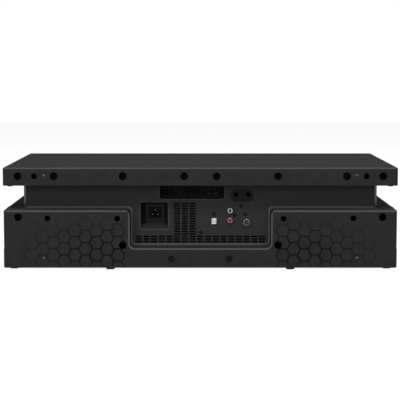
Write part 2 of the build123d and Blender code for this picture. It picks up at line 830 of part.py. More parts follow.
def wire_antenna_socket():
    """The two-pole antenna socket: a block whose face is T shaped."""
    y1 = socket_y
    x, z = wire_socket_x, wire_socket_z
    socket = block(x - 5.35, x + 5.35, y1, neck_y + 2, z - 0.4, z + 5.25)
    socket += block(x - 4.4, x + 4.4, y1, neck_y + 2, z - 5.25, z)
    socket -= [block(x + dx - 0.9, x + dx + 0.9, neck_y - 4, neck_y + 3, z - 2.4, z + 2)
               for dx in (-2.4, 2.4)]
    return one(socket)


def coax_antenna_socket():
    """The coaxial antenna socket: a threaded-looking shell with its centre contact."""
    y1 = socket_y
    socket = stepped_shell(coax_radius, coax_x, coax_z, y1, neck_y + coax_length)
    socket -= tube_y(coax_radius - 0.9, 1.5, coax_x, coax_z, neck_y + shell_root, neck_y + coax_length + 1)
    socket -= rod_y(0.8, coax_x, coax_z, neck_y, neck_y + coax_length + 1)
    return one(socket)


def rear_jack_sockets():
    """The two jack sockets in the pill recess, each a bush through the wall and a body behind it."""
    y0 = neck_y - pill_depth
    sockets = []
    for jx, jz in jack_places():
        bush = rod_y(jack_radius, jx, jz, y0 - 8.5, y0 + 2.5)
        bush += block(jx - 8, jx + 8, y0 - 30, y0 - 8, jz - 8, jz + 8) & rod_y(10, jx, jz, y0 - 30, y0 - 8)
        sockets.append(one(bush - rod_y(jack_bore, jx, jz, y0 - 26, y0 + 3)))
    return Compound(children=sockets)


def screw(x, z, seat_y):
    """A screw along Y whose head sits on a seat and whose shank runs towards the front."""
    return rod_y(screw_head_radius, x, z, seat_y, seat_y + screw_head_height) + rod_y(
        screw_radius - 0.1, x, z, seat_y - screw_length, seat_y + 0.5)


def cover_screws():
    """Every screw that goes in from the rear."""
    screws = [screw(x, z, rear_y - well_depth) for x, z, radius in base_well_places()]
    screws += [screw(x, plate_screw_z(), rear_y - plate_well_depth) for x, radius in plate_well_places()]
    x, z = strip_screw
    screws += [screw(side * x, z, rear_y - 4) for side in (-1, 1)]
    return Compound(children=[one(s) for s in screws])


# Front


def fascia():
    """The front panel: a shallow shell with openings for grilles, tray, window, keys, knobs and sockets."""
    low, high = base_bottom, neck_top - 0.3
    face = Pos(0, (low + high) / 2) * RectangleRounded(2 * base_half, high - low, fascia_corner)
    inner = Pos(0, (low + high) / 2) * RectangleRounded(
        2 * (base_half - wall), high - low - 2 * wall, fascia_corner - wall)
    shell = extrude(upright(fascia_rear - seat_gap) * face, fascia_depth - seat_gap)
    shell = fillet(shell.edges().group_by(Axis.Y)[0], 2.4)
    shell -= extrude(upright(fascia_rear) * inner, fascia_depth - wall)
    cut_y = (fascia_front - 1, fascia_front + wall + 1)
    holes = [block(*sorted((side * grille_left, side * grille_right)), *cut_y, grille_bottom, grille_top)
             for side in (-1, 1)]
    door_z = door_middle()
    holes.append(block(-tray_half - 2.5, tray_half + 2.5, *cut_y, door_z - door_height / 2 - 0.3,
                       door_z + door_height / 2 + 0.3))
    holes.append(block(-window_width / 2, window_width / 2, *cut_y, window_z - window_height / 2,
                       window_z + window_height / 2))
    holes += [block(x - key_width / 2 - 0.3, x + key_width / 2 + 0.3, *cut_y,
                    key_z - key_height / 2 - 0.3, key_z + key_height / 2 + 0.3) for x in key_places()]
    for x, z in round_button_places():
        holes.append(rod_y(round_button_radius + 0.3, x, z, *cut_y))
    holes.append(rod_y(5, 0, knob_z, *cut_y))
    holes.append(rod_y(4, mic_x, mic_knob_z, *cut_y))
    holes.append(rod_y(jack_radius + 0.3, mic_x, mic_jack_z, *cut_y))
    holes += [block(x0 - 6.8, x0 + 6.8, *cut_y, z0 - 3.2, z0 + 3.2) for x0, z0 in usb_places()]
    return one(shell - holes)


def door_middle():
    """The height of the tray door's middle."""
    return tray_bottom + tray_thickness / 2 - 0.5


def key_places():
    """The keys' middles along the row."""
    return [(i - (key_count - 1) / 2) * key_spacing for i in range(key_count)]


def round_button_places():
    """The power and eject buttons, as (x, z)."""
    return [(power_x, power_z), (power_x, eject_z)]


def usb_places():
    """The two flat sockets on the front, as (x, z)."""
    return [(usb_x, mic_knob_z - 4), (usb_x, mic_jack_z)]


def grille(side):
    """A loudspeaker grille: a frame with level bars whose middle stands a little proud."""
    mid_x = side * (grille_left + grille_right) / 2
    wide = grille_right - grille_left - 0.6
    low, high = grille_bottom + seat_gap, grille_top - seat_gap
    crown = grille_crown
    depth_y = wall + 3
    radius = (wide**2 / 4 + crown**2) / (2 * crown)
    y_flat = fascia_front
    curved = Pos(mid_x, y_flat - crown + radius, 0) * Cylinder(radius, 400)
    back = block(mid_x - wide / 2, mid_x + wide / 2, y_flat - crown - 1, y_flat + depth_y, low, high)
    body = back & curved
    body -= block(mid_x - wide / 2 + 6, mid_x + wide / 2 - 6, y_flat + 2.2, y_flat + depth_y + 1,
                  low + 6, high - 6)
    pitch = (high - low - 12) / grille_bars
    for bar in range(grille_bars):
        z0 = low + 6 + bar * pitch + 2.4
        body -= block(mid_x - wide / 2 + 6, mid_x + wide / 2 - 6, y_flat - crown - 2, y_flat + 4,
                      z0, z0 + pitch - 3.6)
    return one(body)


def display_window():
    """The dark window over the display, with a flange behind the fascia's opening."""
    w, h = window_width / 2 - 0.3, window_height / 2 - 0.3
    pane = block(-w, w, fascia_front, fascia_front + wall + 0.2, window_z - h, window_z + h)
    pane += block(-w - 3, w + 3, fascia_front + wall + 0.2, fascia_front + wall + 1.4,
                  window_z - h - 2, window_z + h + 2)
    return one(pane)


def display_module():
    """The display behind the window, soldered to the front board."""
    y0 = fascia_front + wall + 1.4 + 0.2
    return one(block(-50, 50, y0, front_board_y, window_z - 13, window_z + 13))


def jack_passage(y0, y1):
    """The square way through for the front jack's body."""
    reach = 7 + seat_gap
    return block(mic_x - reach, mic_x + reach, y0, y1, mic_jack_z - reach, mic_jack_z + reach)


def front_board():
    """The upright board behind the fascia, with a switch behind each key and button."""
    y0, y1 = front_board_y, front_board_y + board_thickness
    board = block(-96, 96, y0, y1, 11, 121)
    board += [block(x - 3, x + 3, y0 - 1.2, y0 + 0.2, key_z - 3, key_z + 3) for x in key_places()]
    board += block(power_x - 3, power_x + 3, y0 - 1.2, y0 + 0.2, power_z - 3, power_z + 3)
    board += block(power_x - 4, power_x + 4, y0, y1, 120, 142)
    board -= jack_passage(y0 - 1, y1 + 1)
    board += block(power_x - 3, power_x + 3, y0 - 1.2, y0 + 0.2, eject_z - 3, eject_z + 3)
    return one(board)


def button(face, flange, rise):
    """A push button from its outline: a cap through the fascia and a flange that keeps it in."""
    y_cap = fascia_front - rise
    y_flange = fascia_front + wall + seat_gap
    cap = extrude(upright(y_flange + 1.2) * face, y_flange + 1.2 - y_cap)
    cap = fillet(cap.edges().group_by(Axis.Y)[0], 0.8)
    return one(cap + extrude(upright(y_flange + 1.2) * flange, 1.2))


def key(x):
    """One key of the row."""
    face = Pos(x, key_z) * RectangleRounded(key_width, key_height, 2)
    return button(face, Pos(x, key_z) * Rectangle(key_width + 2.4, key_height + 2.4), 1.8)


def round_button(x, z):
    """A round button."""
    face = Pos(x, z) * Circle(round_button_radius)
    return button(face, Pos(x, z) * Circle(round_button_radius + 1.6), 1.8)


def knob(x, z, radius, length, shaft, hollow):
    """A tapered knob, hollow behind where it is large, and its shaft running back through the fascia."""
    y0 = fascia_front - 0.6 - length
    y1 = fascia_front - 0.6
    rim = [(0, y0), (radius - 1.5, y0), (radius - 0.5, y0 + 1), (radius, y1)]
    if hollow:
        rim += [(radius - 2, y1), (radius - 2.4, y0 + 2.4), (shaft + 2, y0 + 2.4), (shaft + 2, y1)]
    profile = outline(rim + [(0, y1)])
    body = Pos(x, 0, z) * revolve(profile, Axis.Y)
    body += rod_y(shaft, x, z, y1 - 0.5, front_board_y - 0.6)
    return one(body)


def front_controls():
    """The volume encoder, the level control, the jack and the flat sockets on the front board."""
    y1 = front_board_y
    inner = fascia_front + wall
    solids = []
    for x, z, shaft, size in ((0, knob_z, 3, 6.5), (mic_x, mic_knob_z, 2.5, 5.5)):
        body = block(x - size, x + size, inner + 0.4, y1, z - size, z + size)
        body += rod_y(shaft + 1.2, x, z, inner - 1.8, inner + 0.6)
        solids.append(one(body - rod_y(shaft + running_gap, x, z, inner - 3, y1 - 0.2)))
    jack = rod_y(jack_radius, mic_x, mic_jack_z, fascia_front - 0.8, inner + 1)
    end = fascia_front + jack_reach
    jack += block(mic_x - 7, mic_x + 7, inner + 0.4, end, mic_jack_z - 7, mic_jack_z + 7)
    solids.append(one(jack - rod_y(jack_bore, mic_x, mic_jack_z, fascia_front - 1, end - 2)))
    for x, z in usb_places():
        socket = block(x - 6.5, x + 6.5, fascia_front + 0.4, y1, z - 2.9, z + 2.9)
        socket -= block(x - 6, x + 6, fascia_front, y1 - 0.8, z - 2.4, z + 0.2)
        socket -= block(x - 6, x + 6, fascia_front, fascia_front + 2.4, z - 2.4, z + 2.4)
        solids.append(one(socket))
    return Compound(children=solids)


# Loudspeakers


def enclosure(side):
    """A sealed loudspeaker box behind the baffle with its bass port and rear screw boss."""
    y0 = baffle_rear
    y1 = y0 + box_depth
    t = 3.0
    x0, x1 = sorted((side * box_inner, side * box_outer))
    box = block(x0, x1, y0, y1, box_bottom, box_top)
    ends = box.edges().filter_by(Axis.Z).group_by(Axis.Y)[-1]
    box = fillet(ends, 8)
    box -= block(x0 + t, x1 - t, y0 - 1, y1 - t, box_bottom + t, box_top - t)
    port = tube_y(port_radius + 2, port_radius, side * tweeter_x, port_z, y0, y0 + 120)
    box += port
    box += block(*sorted((side * box_inner, side * (tweeter_x - port_radius))), y0 + 40, y0 + 44,
                 port_z - 4, port_z + 4)
    return one(box)


def speaker_enclosures():
    """Both loudspeaker boxes."""
    return Compound(children=[enclosure(side) for side in (-1, 1)])


def woofer_frames():
    """Both woofers' pressed frames: a flange, a cone-shaped basket with windows and a rear ring."""
    r = woofer_radius
    rim = cone_radius + surround_width
    profile = outline([(rim, 0), (r, 0), (r, 3), (rim + 3.4, 3), (36.5, 34.5), (36.5, 36), (18, 36),
                       (18, 34.5), (33.6, 34.5), (rim, 4)])
    frames = []
    for side in (-1, 1):
        frame = turned(profile, side * woofer_x, woofer_z, woofer_y)
        for turn in range(6):
            window = Pos(44, 19, 0) * Box(40, 20, 24)
            frame -= Pos(side * woofer_x, woofer_y, woofer_z) * Rot(0, 60 * turn, 0) * window
        frames.append(one(frame))
    return Compound(children=frames)


def woofer_magnets():
    """Both woofers' magnets with the pole that the voice coil runs over."""
    profile = outline([(0, 28), (11.5, 28), (11.5, 54), (14, 54), (14, 36.3), (35, 36.3), (35, 58), (0, 58)])
    return Compound(children=[one(turned(profile, side * woofer_x, woofer_z, woofer_y))
                              for side in (-1, 1)])


def woofer_cone(side):
    """A paper cone with its dust cap and the voice coil's former."""
    r = cone_radius
    cap = ThreePointArc((0, 10.5), (8, 12.2), (15, 18.6))
    front = Polyline((15, 18.6), (r, 1), (r, 2.2), (13.1, 21), (13.1, 34), (12.3, 34), (12.3, 18.6),
                     (0, 11.8), (0, 10.5))
    return one(turned(make_face(cap + front), side * woofer_x, woofer_z, woofer_y))


def woofer_surrounds():
    """Both rolled rubber edges that let the cones move."""
    r0, r1 = cone_radius + seat_gap, cone_radius + surround_width - seat_gap
    mid = (r0 + r1) / 2
    arch = [(mid + (mid - r0) * cos(a), 1.6 - 4.0 * sin(a)) for a in (pi * i / 5 for i in range(6))]
    under = [(mid + (mid - r0 - 0.8) * cos(a), 1.6 - 3.2 * sin(a))
             for a in (pi * i / 5 for i in range(5, -1, -1))]
    face = outline(arch + under)
    return Compound(children=[one(turned(face, side * woofer_x, woofer_z, woofer_y)) for side in (-1, 1)])


def tweeters():
    """Both tweeters: a round flange with a soft dome and a magnet behind."""
    dome = ThreePointArc((0, -2.4), (7, -0.9), (10.5, 2.2))
    rest = Polyline((10.5, 2.2), (19, 0.4), (19.7, 0.4), (19.7, 3.3), (25, 3.3), (25, 6), (16, 6), (16, 24),
                    (0, 24), (0, -2.4))
    face = make_face(dome + rest)
    y = baffle_rear - 3.0
    return Compound(children=[one(turned(face, side * tweeter_x, tweeter_z, y)) for side in (-1, 1)])


# Disc mechanism


def gear_face(teeth, module, turn=0.0):
    """An involute gear's outline with a little backlash, one tooth pointing along +X before the turn."""
    pitch = teeth * module / 2
    base = pitch * cos(radians(20))
    tip = pitch + 0.9 * module
    root = pitch - 1.2 * module
    slack = 0.08 / pitch

    def roll(r):
        angle = acos(base / r)
        return tan(angle) - angle

    spread = pi / (2 * teeth) - slack + roll(pitch)
    start = max(base, root)
    flank = [(root, spread)] if root < base else []
    flank += [(r, spread - roll(r)) for r in (start + (tip - start) * i / 3 for i in range(4))]
    points = []
    for tooth in range(teeth):
        middle = 2 * pi * tooth / teeth + radians(turn)
        sides = [(r, middle - a) for r, a in flank] + [(r, middle + a) for r, a in reversed(flank)]
        points += [(r * cos(a), r * sin(a)) for r, a in sides]
    return outline(points)


def rack_face():
    """The rack's outline in plan: straight-sided teeth facing the middle of the tray."""
    pitch = pi * gear_module
    tip, root = 0.9 * gear_module, 1.2 * gear_module
    lean = tan(radians(20))
    thick = pitch / 4 - 0.06
    points = []
    first = gear_y - pitch * 3.5
    for tooth in range(rack_teeth):
        y = first + tooth * pitch
        points += [(rack_x + root, y - thick - root * lean), (rack_x - tip, y - thick + tip * lean),
                   (rack_x - tip, y + thick - tip * lean), (rack_x + root, y + thick + root * lean)]
    last = points[-1][1]
    points += [(rack_x + 4, last), (rack_x + 4, points[0][1])]
    return outline(points)


def disc_tray():
    """The sliding tray: two stepped disc rests, a window for the pickup, side rails and a toothed rack."""
    y0, y1 = tray_front, tray_front + tray_length
    z0, z1 = tray_bottom, tray_bottom + tray_thickness
    tray = block(-tray_half, tray_half, y0, y1, z0, z1)
    tray -= rod_z(disc_radius + 1.5, 0, disc_y, z1 - 4, z1 + 1)
    tray -= rod_z(small_disc_radius + 1, 0, disc_y, z1 - 5, z1)
    slot = rod_z(19, 0, disc_y, z0 - 1, z1)
    slot += block(-21, 21, disc_y, disc_y + 62, z0 - 1, z1 + 1)
    tray -= slot
    tray -= block(-30, 30, y1 - 44, y1 - 6, z0 + 2, z1 + 1)
    tray += Pos(0, 0, z0 - 4) * extrude(rack_face(), 4.5)
    tray += both_sides(block(tray_half - 4, tray_half - rail_grip - 0.4, y1 - 6, y1, z0, z1 + 2))
    return one(tray)


def tray_door():
    """The door on the tray's front end, with a finger lip below."""
    z = door_middle()
    h = door_height / 2
    w = tray_half + 2.2
    face = Pos(0, z) * RectangleRounded(2 * w, 2 * h, 1.5)
    door = extrude(upright(tray_front) * face, tray_front - fascia_front)
    door = fillet(door.edges().group_by(Axis.Y)[0], 0.8)
    return one(door - block(-w + 3, w - 3, tray_front - 3.4, tray_front + 1, z + 4.7, z + h - 1.6))


def loader_chassis():
    """The mechanism's frame: floor, side walls with tray rails, axle posts and the traverse's hinge ears."""
    y0, y1 = baffle_rear + 1, pivot_y + 8
    z0 = bracket_top
    chassis = block(-mech_half, mech_half, y0, y1, z0, chassis_base)
    chassis -= block(-44, 44, disc_y - 26, pivot_y - 14, z0 - 1, chassis_base + 1)
    for side in (-1, 1):
        chassis += block(*sorted((side * (mech_half - 3), side * mech_half)), y0, y1, z0, chassis_top)
        for low, high in ((tray_bottom - 2.6, tray_bottom - seat_gap),
                          (tray_bottom + tray_thickness + seat_gap, tray_bottom + tray_thickness + 2)):
            rail_x = sorted((side * (tray_half - rail_grip), side * (mech_half - 2)))
            chassis += block(*rail_x, y0, y1 - 20, low, high)
        ear_x = sorted((side * 46, side * 50))
        chassis += block(*ear_x, pivot_y - 5, pivot_y + 5, chassis_base - 1, pivot_z + 5)
        chassis -= rod_x(2 + running_gap, pivot_y, pivot_z, *sorted((side * 45, side * 51)))
    chassis -= rod_z(wheel_module * wheel_teeth / 2 + 2.2, gear_x, gear_y, tray_bottom - 17, tray_bottom - 3)
    chassis += rod_z(2, gear_x, gear_y, chassis_base - 1, tray_bottom - 1)
    chassis += rod_z(1.5, pulley_x, gear_y, chassis_base - 1, tray_bottom - 3.6)
    chassis += tube_z(13, 10.8, motor_x, gear_y, chassis_base - 0.5, chassis_base + 6)
    return one(chassis)


def loading_motor():
    """The small motor that drives the tray through a belt."""
    motor = rod_z(10.5, motor_x, gear_y, chassis_base, tray_bottom - 9.5)
    return one(motor + rod_z(3, motor_x, gear_y, tray_bottom - 10, tray_bottom - 8.6))


def grooved(radius, groove, x, y, z0, z1):
    """An upright pulley with a V groove."""
    mid = (z0 + z1) / 2
    half_high = (z1 - z0) / 2
    profile = outline([(0, -half_high), (radius, -half_high), (radius, -half_high + 0.7),
                       (radius - groove, 0), (radius, half_high - 0.7), (radius, half_high), (0, half_high)])
    return Pos(x, y, mid) * Rot(90, 0, 0) * revolve(profile, Axis.Y)


def motor_pulley():
    """The pulley on the loading motor's shaft."""
    return one(grooved(motor_pulley_radius + 1, 1.2, motor_x, gear_y, tray_bottom - 8.3, tray_bottom - 4.3))


def loading_pulley():
    """The belt's large pulley with the small drive gear under it."""
    pulley = grooved(pulley_radius + 1, 1.2, pulley_x, gear_y, tray_bottom - 8.3, tray_bottom - 4.3)
    teeth = extrude(gear_face(drive_teeth, wheel_module, 180 / drive_teeth), 6)
    pulley += Pos(pulley_x, gear_y, tray_bottom - 14) * teeth
    return one(pulley - rod_z(1.5 + running_gap, pulley_x, gear_y, 100, 200))


def drive_belt():
    """The square rubber belt round the two pulleys."""
    z0 = tray_bottom - 6.9
    r0, r1 = motor_pulley_radius + belt_seat, pulley_radius + belt_seat
    span = pulley_x - motor_x
    lean = acos((r1 - r0) / span)

    def loop(grow):
        a, b = r0 + grow, r1 + grow
        left = (motor_x - a * cos(lean), gear_y + a * sin(lean))
        right = (pulley_x - b * cos(lean), gear_y + b * sin(lean))
        left_low = (left[0], 2 * gear_y - left[1])
        right_low = (right[0], 2 * gear_y - right[1])
        path = Line(left, right) + ThreePointArc(right, (pulley_x + b, gear_y), right_low)
        path += Line(right_low, left_low) + ThreePointArc(left_low, (motor_x - a, gear_y), left)
        return make_face(path)

    return one(Pos(0, 0, z0) * extrude(loop(belt_thickness) - loop(0), belt_thickness))


def loading_gear():
    """The large wheel driven by the pulley's gear, with the pinion that drives the rack on top."""
    wheel = Pos(gear_x, gear_y, tray_bottom - 13.5) * extrude(gear_face(wheel_teeth, wheel_module), 5)
    pinion = Pos(gear_x, gear_y, tray_bottom - 8.7) * extrude(gear_face(pinion_teeth, gear_module), 8.4)
    return one(wheel + pinion - rod_z(2 + running_gap, gear_x, gear_y, 100, 200))


def lowered(shape):
    """A piece of the traverse, drawn level in its playing position, turned down about the hinge to rest."""
    return shape.rotate(Axis((0, pivot_y, pivot_z), (1, 0, 0)), lift_angle)


def traverse():
    """The lifting sub-frame that carries the spindle and the pickup, hinged on two pins at its rear."""
    y0, y1 = disc_y - 22, pivot_y + 3.5
    z0, z1 = pivot_z - 3, pivot_z + 4
    frame = block(-41, 41, y0, y1, z0, z1)
    frame -= block(-38, 38, disc_y - 3, pivot_y - 12, z0 + 1.6, z1 + 1)
    frame -= block(-22, 22, disc_y + 2, pivot_y - 16, z0 - 1, z1)
    frame -= rod_z(12.3, 0, disc_y, z0 - 1, z1 + 1)
    for side in (-1, 1):
        frame += rod_x(2, pivot_y, pivot_z, *sorted((side * 40, side * 49)))
        for y in (disc_y + 8, pivot_y - 14):
            frame += block(side * 28 - 3, side * 28 + 3, y - 2.5, y + 2.5, z0 + 1, z1)
            frame -= rod_y(1.5, side * 28, rod_level, y - 3, y + 3)
    frame -= rod_y(1.6 + running_gap, -35, rod_level, disc_y - 5, pivot_y - 10)
    frame -= block(-40, -29, disc_y - 20.5, disc_y - 3.5, z0 + 1.6, z1 + 1)
    return one(frame)


def guide_rods():
    """The two polished rods that the pickup slides on."""
    return Compound(children=[lowered(rod_y(1.5, side * 28, rod_level, disc_y + 5.5, pivot_y - 11.5))
                              for side in (-1, 1)])


def traverse_motors():
    """The spindle motor and the sled motor, fixed to the traverse."""
    z0 = pivot_z - 3
    spindle = rod_z(12, 0, disc_y, z0 - 1.5, table_level - 6.4) - rod_z(1.5 + running_gap, 0, disc_y, z0, 200)
    can = rod_y(4.2, -35, rod_level, disc_y - 20, disc_y - 4)
    can &= block(-45, -25, disc_y - 30, disc_y, pivot_z - 1.1, pivot_z + 6)
    return Compound(children=[lowered(one(spindle)), lowered(one(can))])


def turntable():
    """The disc's turntable: a flange with a rubber ring's step, a centring cone and the motor's shaft."""
    z = table_level
    profile = outline([(0, z - 12), (1.5, z - 12), (1.5, z - 5.8), (turntable_radius, z - 3),
                       (turntable_radius, z), (8, z), (7.3, z + 0.2), (7.3, z + 1.4), (5.8, z + 2.5),
                       (0, z + 2.5)])
    return Pos(0, disc_y, 0) * revolve(Plane.XZ * profile, Axis.Z)


def pickup_sled():
    """The sliding pickup: a body on two rods, hollowed round the spindle, with its lens on top."""
    y0, y1 = disc_y + 13, disc_y + 40
    z0, z1 = rod_level - 2.6, rod_level + 3.4
    sled = block(-20, 20, y0, y1, z0, z1)
    for side in (-1, 1):
        sled += block(*sorted((side * 19, side * 30.5)), y0 + 4, y1 - 4, z0 + 0.4, z1 - 1.4)
        sled -= rod_y(1.5 + running_gap, side * 28, rod_level, y0 - 1, y1 + 1)
    sled -= rod_z(17, 0, disc_y, z0 - 1, z1 + 1)
    sled += block(-9, 9, disc_y + 18.5, disc_y + 31, z1 - 1, z1 + 3.2)
    sled += rod_z(3.4, 0, disc_y + 24, z1 + 3, z1 + 5.4)
    return one(sled)


def lead_screw():
    """The screw that moves the pickup, with its driving gear at the front end."""
    return one(rod_y(1.6, -35, rod_level, disc_y - 3.7, pivot_y - 10.4))


def clamp_bridge():
    """The bar over the tray that carries the clamp."""
    z0 = chassis_top
    bridge = block(-mech_half, mech_half, disc_y - 17, disc_y + 17, z0, z0 + 1.6)
    bridge += rod_z(22, 0, disc_y, z0, z0 + 1.6)
    bridge -= rod_z(13, 0, disc_y, z0 - 1, z0 + 3)
    return one(bridge)


def clamp_puck():
    """The clamp that rides in the bridge: a collar above, a neck, and a pressing face with a socket below."""
    z = chassis_top
    low = tray_bottom + tray_thickness + 1.0
    profile = outline([(0, z + 6), (11, z + 6), (16, z + 3), (16, z + 1.9), (12.6, z + 1.9), (12.6, z - 0.3),
                       (14.5, z - 0.6), (14.5, low), (8.6, low), (8.6, low + 3), (0, low + 3)])
    return one(Pos(0, disc_y, 0) * revolve(Plane.XZ * profile, Axis.Z))


def mech_bracket():
    """The sheet-metal stand that holds the disc mechanism over the boards."""
    y0, y1 = baffle_rear + 1, pivot_y + 12
    z = bracket_top
    t = 1.5
    bracket = block(-98, 98, y0, y1, z - t, z)
    bracket -= block(-50, 50, disc_y - 30, pivot_y - 10, z - 5, z + 1)
    for side in (-1, 1):
        x0, x1 = sorted((side * (98 - t), side * 98))
        leg = block(x0, x1, y0, y1, base_bottom + wall, z - 0.5)
        leg -= [block(x0 - 1, x1 + 1, y0 + 18 + 62 * i, y0 + 58 + 62 * i, 30, z - 18) for i in range(3)]
        bracket += leg
        bracket += block(*sorted((side * 98, side * 104)), y0, y1, base_bottom + wall, base_bottom + wall + t)
    return one(bracket)


def all_nodes():
    """Every node by name."""
    nodes = {
        "top_cover": top_cover(),
        "under_panel": under_panel(),
        "rear_cover": rear_cover(),
        "front_cabinet": front_cabinet(),
        "bottom_tray": bottom_tray(),
        "feet": feet(),
        "cover_screws": cover_screws(),
        "mains_inlet": mains_inlet(),
        "inlet_pins": inlet_pins(),
        "white_phono_jack": phono_jack(white_phono_z),
        "red_phono_jack": phono_jack(red_phono_z),
        "wire_antenna_socket": wire_antenna_socket(),
        "coax_antenna_socket": coax_antenna_socket(),
        "rear_jack_sockets": rear_jack_sockets(),
        "jack_board": jack_board(),
        "fan_frame": fan_frame(),
        "fan_rotor": fan_rotor(),
        "main_board": main_board(),
        "power_board": power_board(),
        "transformer": transformer(),
        "heat_sink": heat_sink(),
        "fascia": fascia(),
        "left_grille": grille(-1),
        "right_grille": grille(1),
        "display_window": display_window(),
        "display_module": display_module(),
        "front_board": front_board(),
        "front_controls": front_controls(),
        "volume_knob": knob(0, knob_z, knob_radius, 8.4, 3, True),
        "level_knob": knob(mic_x, mic_knob_z, mic_knob_radius, 7.0, 2.5, False),
        "power_button": round_button(*round_button_places()[0]),
        "eject_button": round_button(*round_button_places()[1]),
        "speaker_enclosures": speaker_enclosures(),
        "woofer_frames": woofer_frames(),
        "woofer_magnets": woofer_magnets(),
        "left_woofer_cone": woofer_cone(-1),
        "right_woofer_cone": woofer_cone(1),
        "woofer_surrounds": woofer_surrounds(),
        "tweeters": tweeters(),
        "disc_tray": disc_tray(),
        "tray_door": tray_door(),
        "loader_chassis": loader_chassis(),
        "loading_motor": loading_motor(),
        "motor_pulley": motor_pulley(),
        "drive_belt": drive_belt(),
        "loading_pulley": loading_pulley(),
        "loading_gear": loading_gear(),
        "traverse": lowered(traverse()),
        "traverse_motors": traverse_motors(),
        "guide_rods": guide_rods(),
        "turntable": lowered(one(turntable())),
        "pickup_sled": lowered(pickup_sled()),
        "lead_screw": lowered(lead_screw()),
        "clamp_bridge": clamp_bridge(),
        "clamp_puck": clamp_puck(),
        "mech_bracket": mech_bracket(),
    }
    for number, x in enumerate(key_places(), 1):
        nodes[f"key_{number}"] = key(x)
    return nodes


os.makedirs("parts", exist_ok=True)
for node_name, shape in all_nodes().items():
    export_step(shape, f"parts/{node_name}.step")
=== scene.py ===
# %% [markdown]
# # A wide one-box hi-fi, seen from behind
# This notebook dresses a finished CAD model of a one-box hi-fi: a flat top plate that hangs over a narrow
# neck, a wide base with a honeycomb relief on its rear, and a disc tray with two loudspeakers in front.
# The shapes come from the CAD model. What Blender adds is light, finish and the small detail that a
# maker's drawing leaves out. Everything is in metres, with +Z up, and the rear faces +Y.

import json
import math

import bmesh
import bpy
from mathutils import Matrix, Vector


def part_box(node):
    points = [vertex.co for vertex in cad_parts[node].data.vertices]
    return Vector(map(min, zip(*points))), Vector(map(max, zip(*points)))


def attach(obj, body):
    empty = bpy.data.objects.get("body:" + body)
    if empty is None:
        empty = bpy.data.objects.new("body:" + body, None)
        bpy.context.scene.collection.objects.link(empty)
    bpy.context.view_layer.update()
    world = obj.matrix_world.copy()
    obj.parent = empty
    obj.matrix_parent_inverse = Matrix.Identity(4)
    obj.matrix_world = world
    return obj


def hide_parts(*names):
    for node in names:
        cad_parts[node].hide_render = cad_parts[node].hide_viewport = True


def rounded(values):
    """Numbers cut to a tenth of a millimetre, for printing."""
    return [round(v, 4) for v in values]


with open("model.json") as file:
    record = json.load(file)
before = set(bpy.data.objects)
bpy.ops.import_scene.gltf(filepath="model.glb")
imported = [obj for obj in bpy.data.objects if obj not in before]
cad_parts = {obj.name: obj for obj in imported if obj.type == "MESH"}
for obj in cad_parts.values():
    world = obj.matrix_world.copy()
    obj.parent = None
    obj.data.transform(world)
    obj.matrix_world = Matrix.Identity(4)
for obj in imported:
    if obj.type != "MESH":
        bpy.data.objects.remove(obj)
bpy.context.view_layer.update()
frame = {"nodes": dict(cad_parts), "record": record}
nodes = frame["nodes"]

# %% [markdown]
# ## The camera
# The photograph was taken from behind, from a little above, with a long lens. Its place was worked out from
# the edges of the top plate and of the base, and the size from the pins of the mains inlet, which stand
# 10 mm apart in every such inlet. A long lens a few metres away keeps the edges nearly parallel, so a short
# lens close by would get the proportions wrong.

# %% Set the camera behind the object
# The flat of the rear cover. Its box ends 0.8 mm further out, at the small pips that stand on it.
rear_y = 0.1992
camera_distance = 2.3873
camera_height = 0.3655
camera_side = 0.0006
pitch_down = math.radians(5.713)
focal_length = 121.5

camera_data = bpy.data.cameras.new("camera")
camera_data.lens = focal_length
camera_data.sensor_width = 36.0
camera_data.clip_start = 0.01
camera_data.clip_end = 100.0
camera = bpy.data.objects.new("camera", camera_data)
camera.location = (camera_side, rear_y + camera_distance, camera_height)
camera.rotation_euler = (math.pi / 2 - pitch_down, 0, math.pi)
bpy.context.scene.collection.objects.link(camera)
bpy.context.scene.camera = camera
bpy.context.scene.view_settings.view_transform = "Standard"
print("camera at", rounded(camera.location))

# %% [markdown]
# ## Floor, backdrop and light
# The object stands in a white studio. The floor has to look white without throwing more light on black
# plastic, so its white comes from a little emission that only the camera, mirrors and glass see. The rest
# of its shading is a plain diffuse surface, which keeps the soft shadow where the feet touch it.


# %% A switch for what the camera, mirrors and glass see
def seen_directly(tree):
    """One where a ray comes from the camera, a reflection or glass, and nought for light that bounces."""
    path = tree.nodes.new("ShaderNodeLightPath")
    first = tree.nodes.new("ShaderNodeMath")
    first.operation = "MAXIMUM"
    tree.links.new(path.outputs["Is Camera Ray"], first.inputs[0])
    tree.links.new(path.outputs["Is Glossy Ray"], first.inputs[1])
    second = tree.nodes.new("ShaderNodeMath")
    second.operation = "MAXIMUM"
    tree.links.new(first.outputs[0], second.inputs[0])
    tree.links.new(path.outputs["Is Transmission Ray"], second.inputs[1])
    return second.outputs[0]


# %% The world, white where the camera looks and dim as a light
ambient_level = 0.05
# Sines of the angle above the horizon: white up to the first, dim from the second.
white_up_to = 0.05
dim_from = 0.06

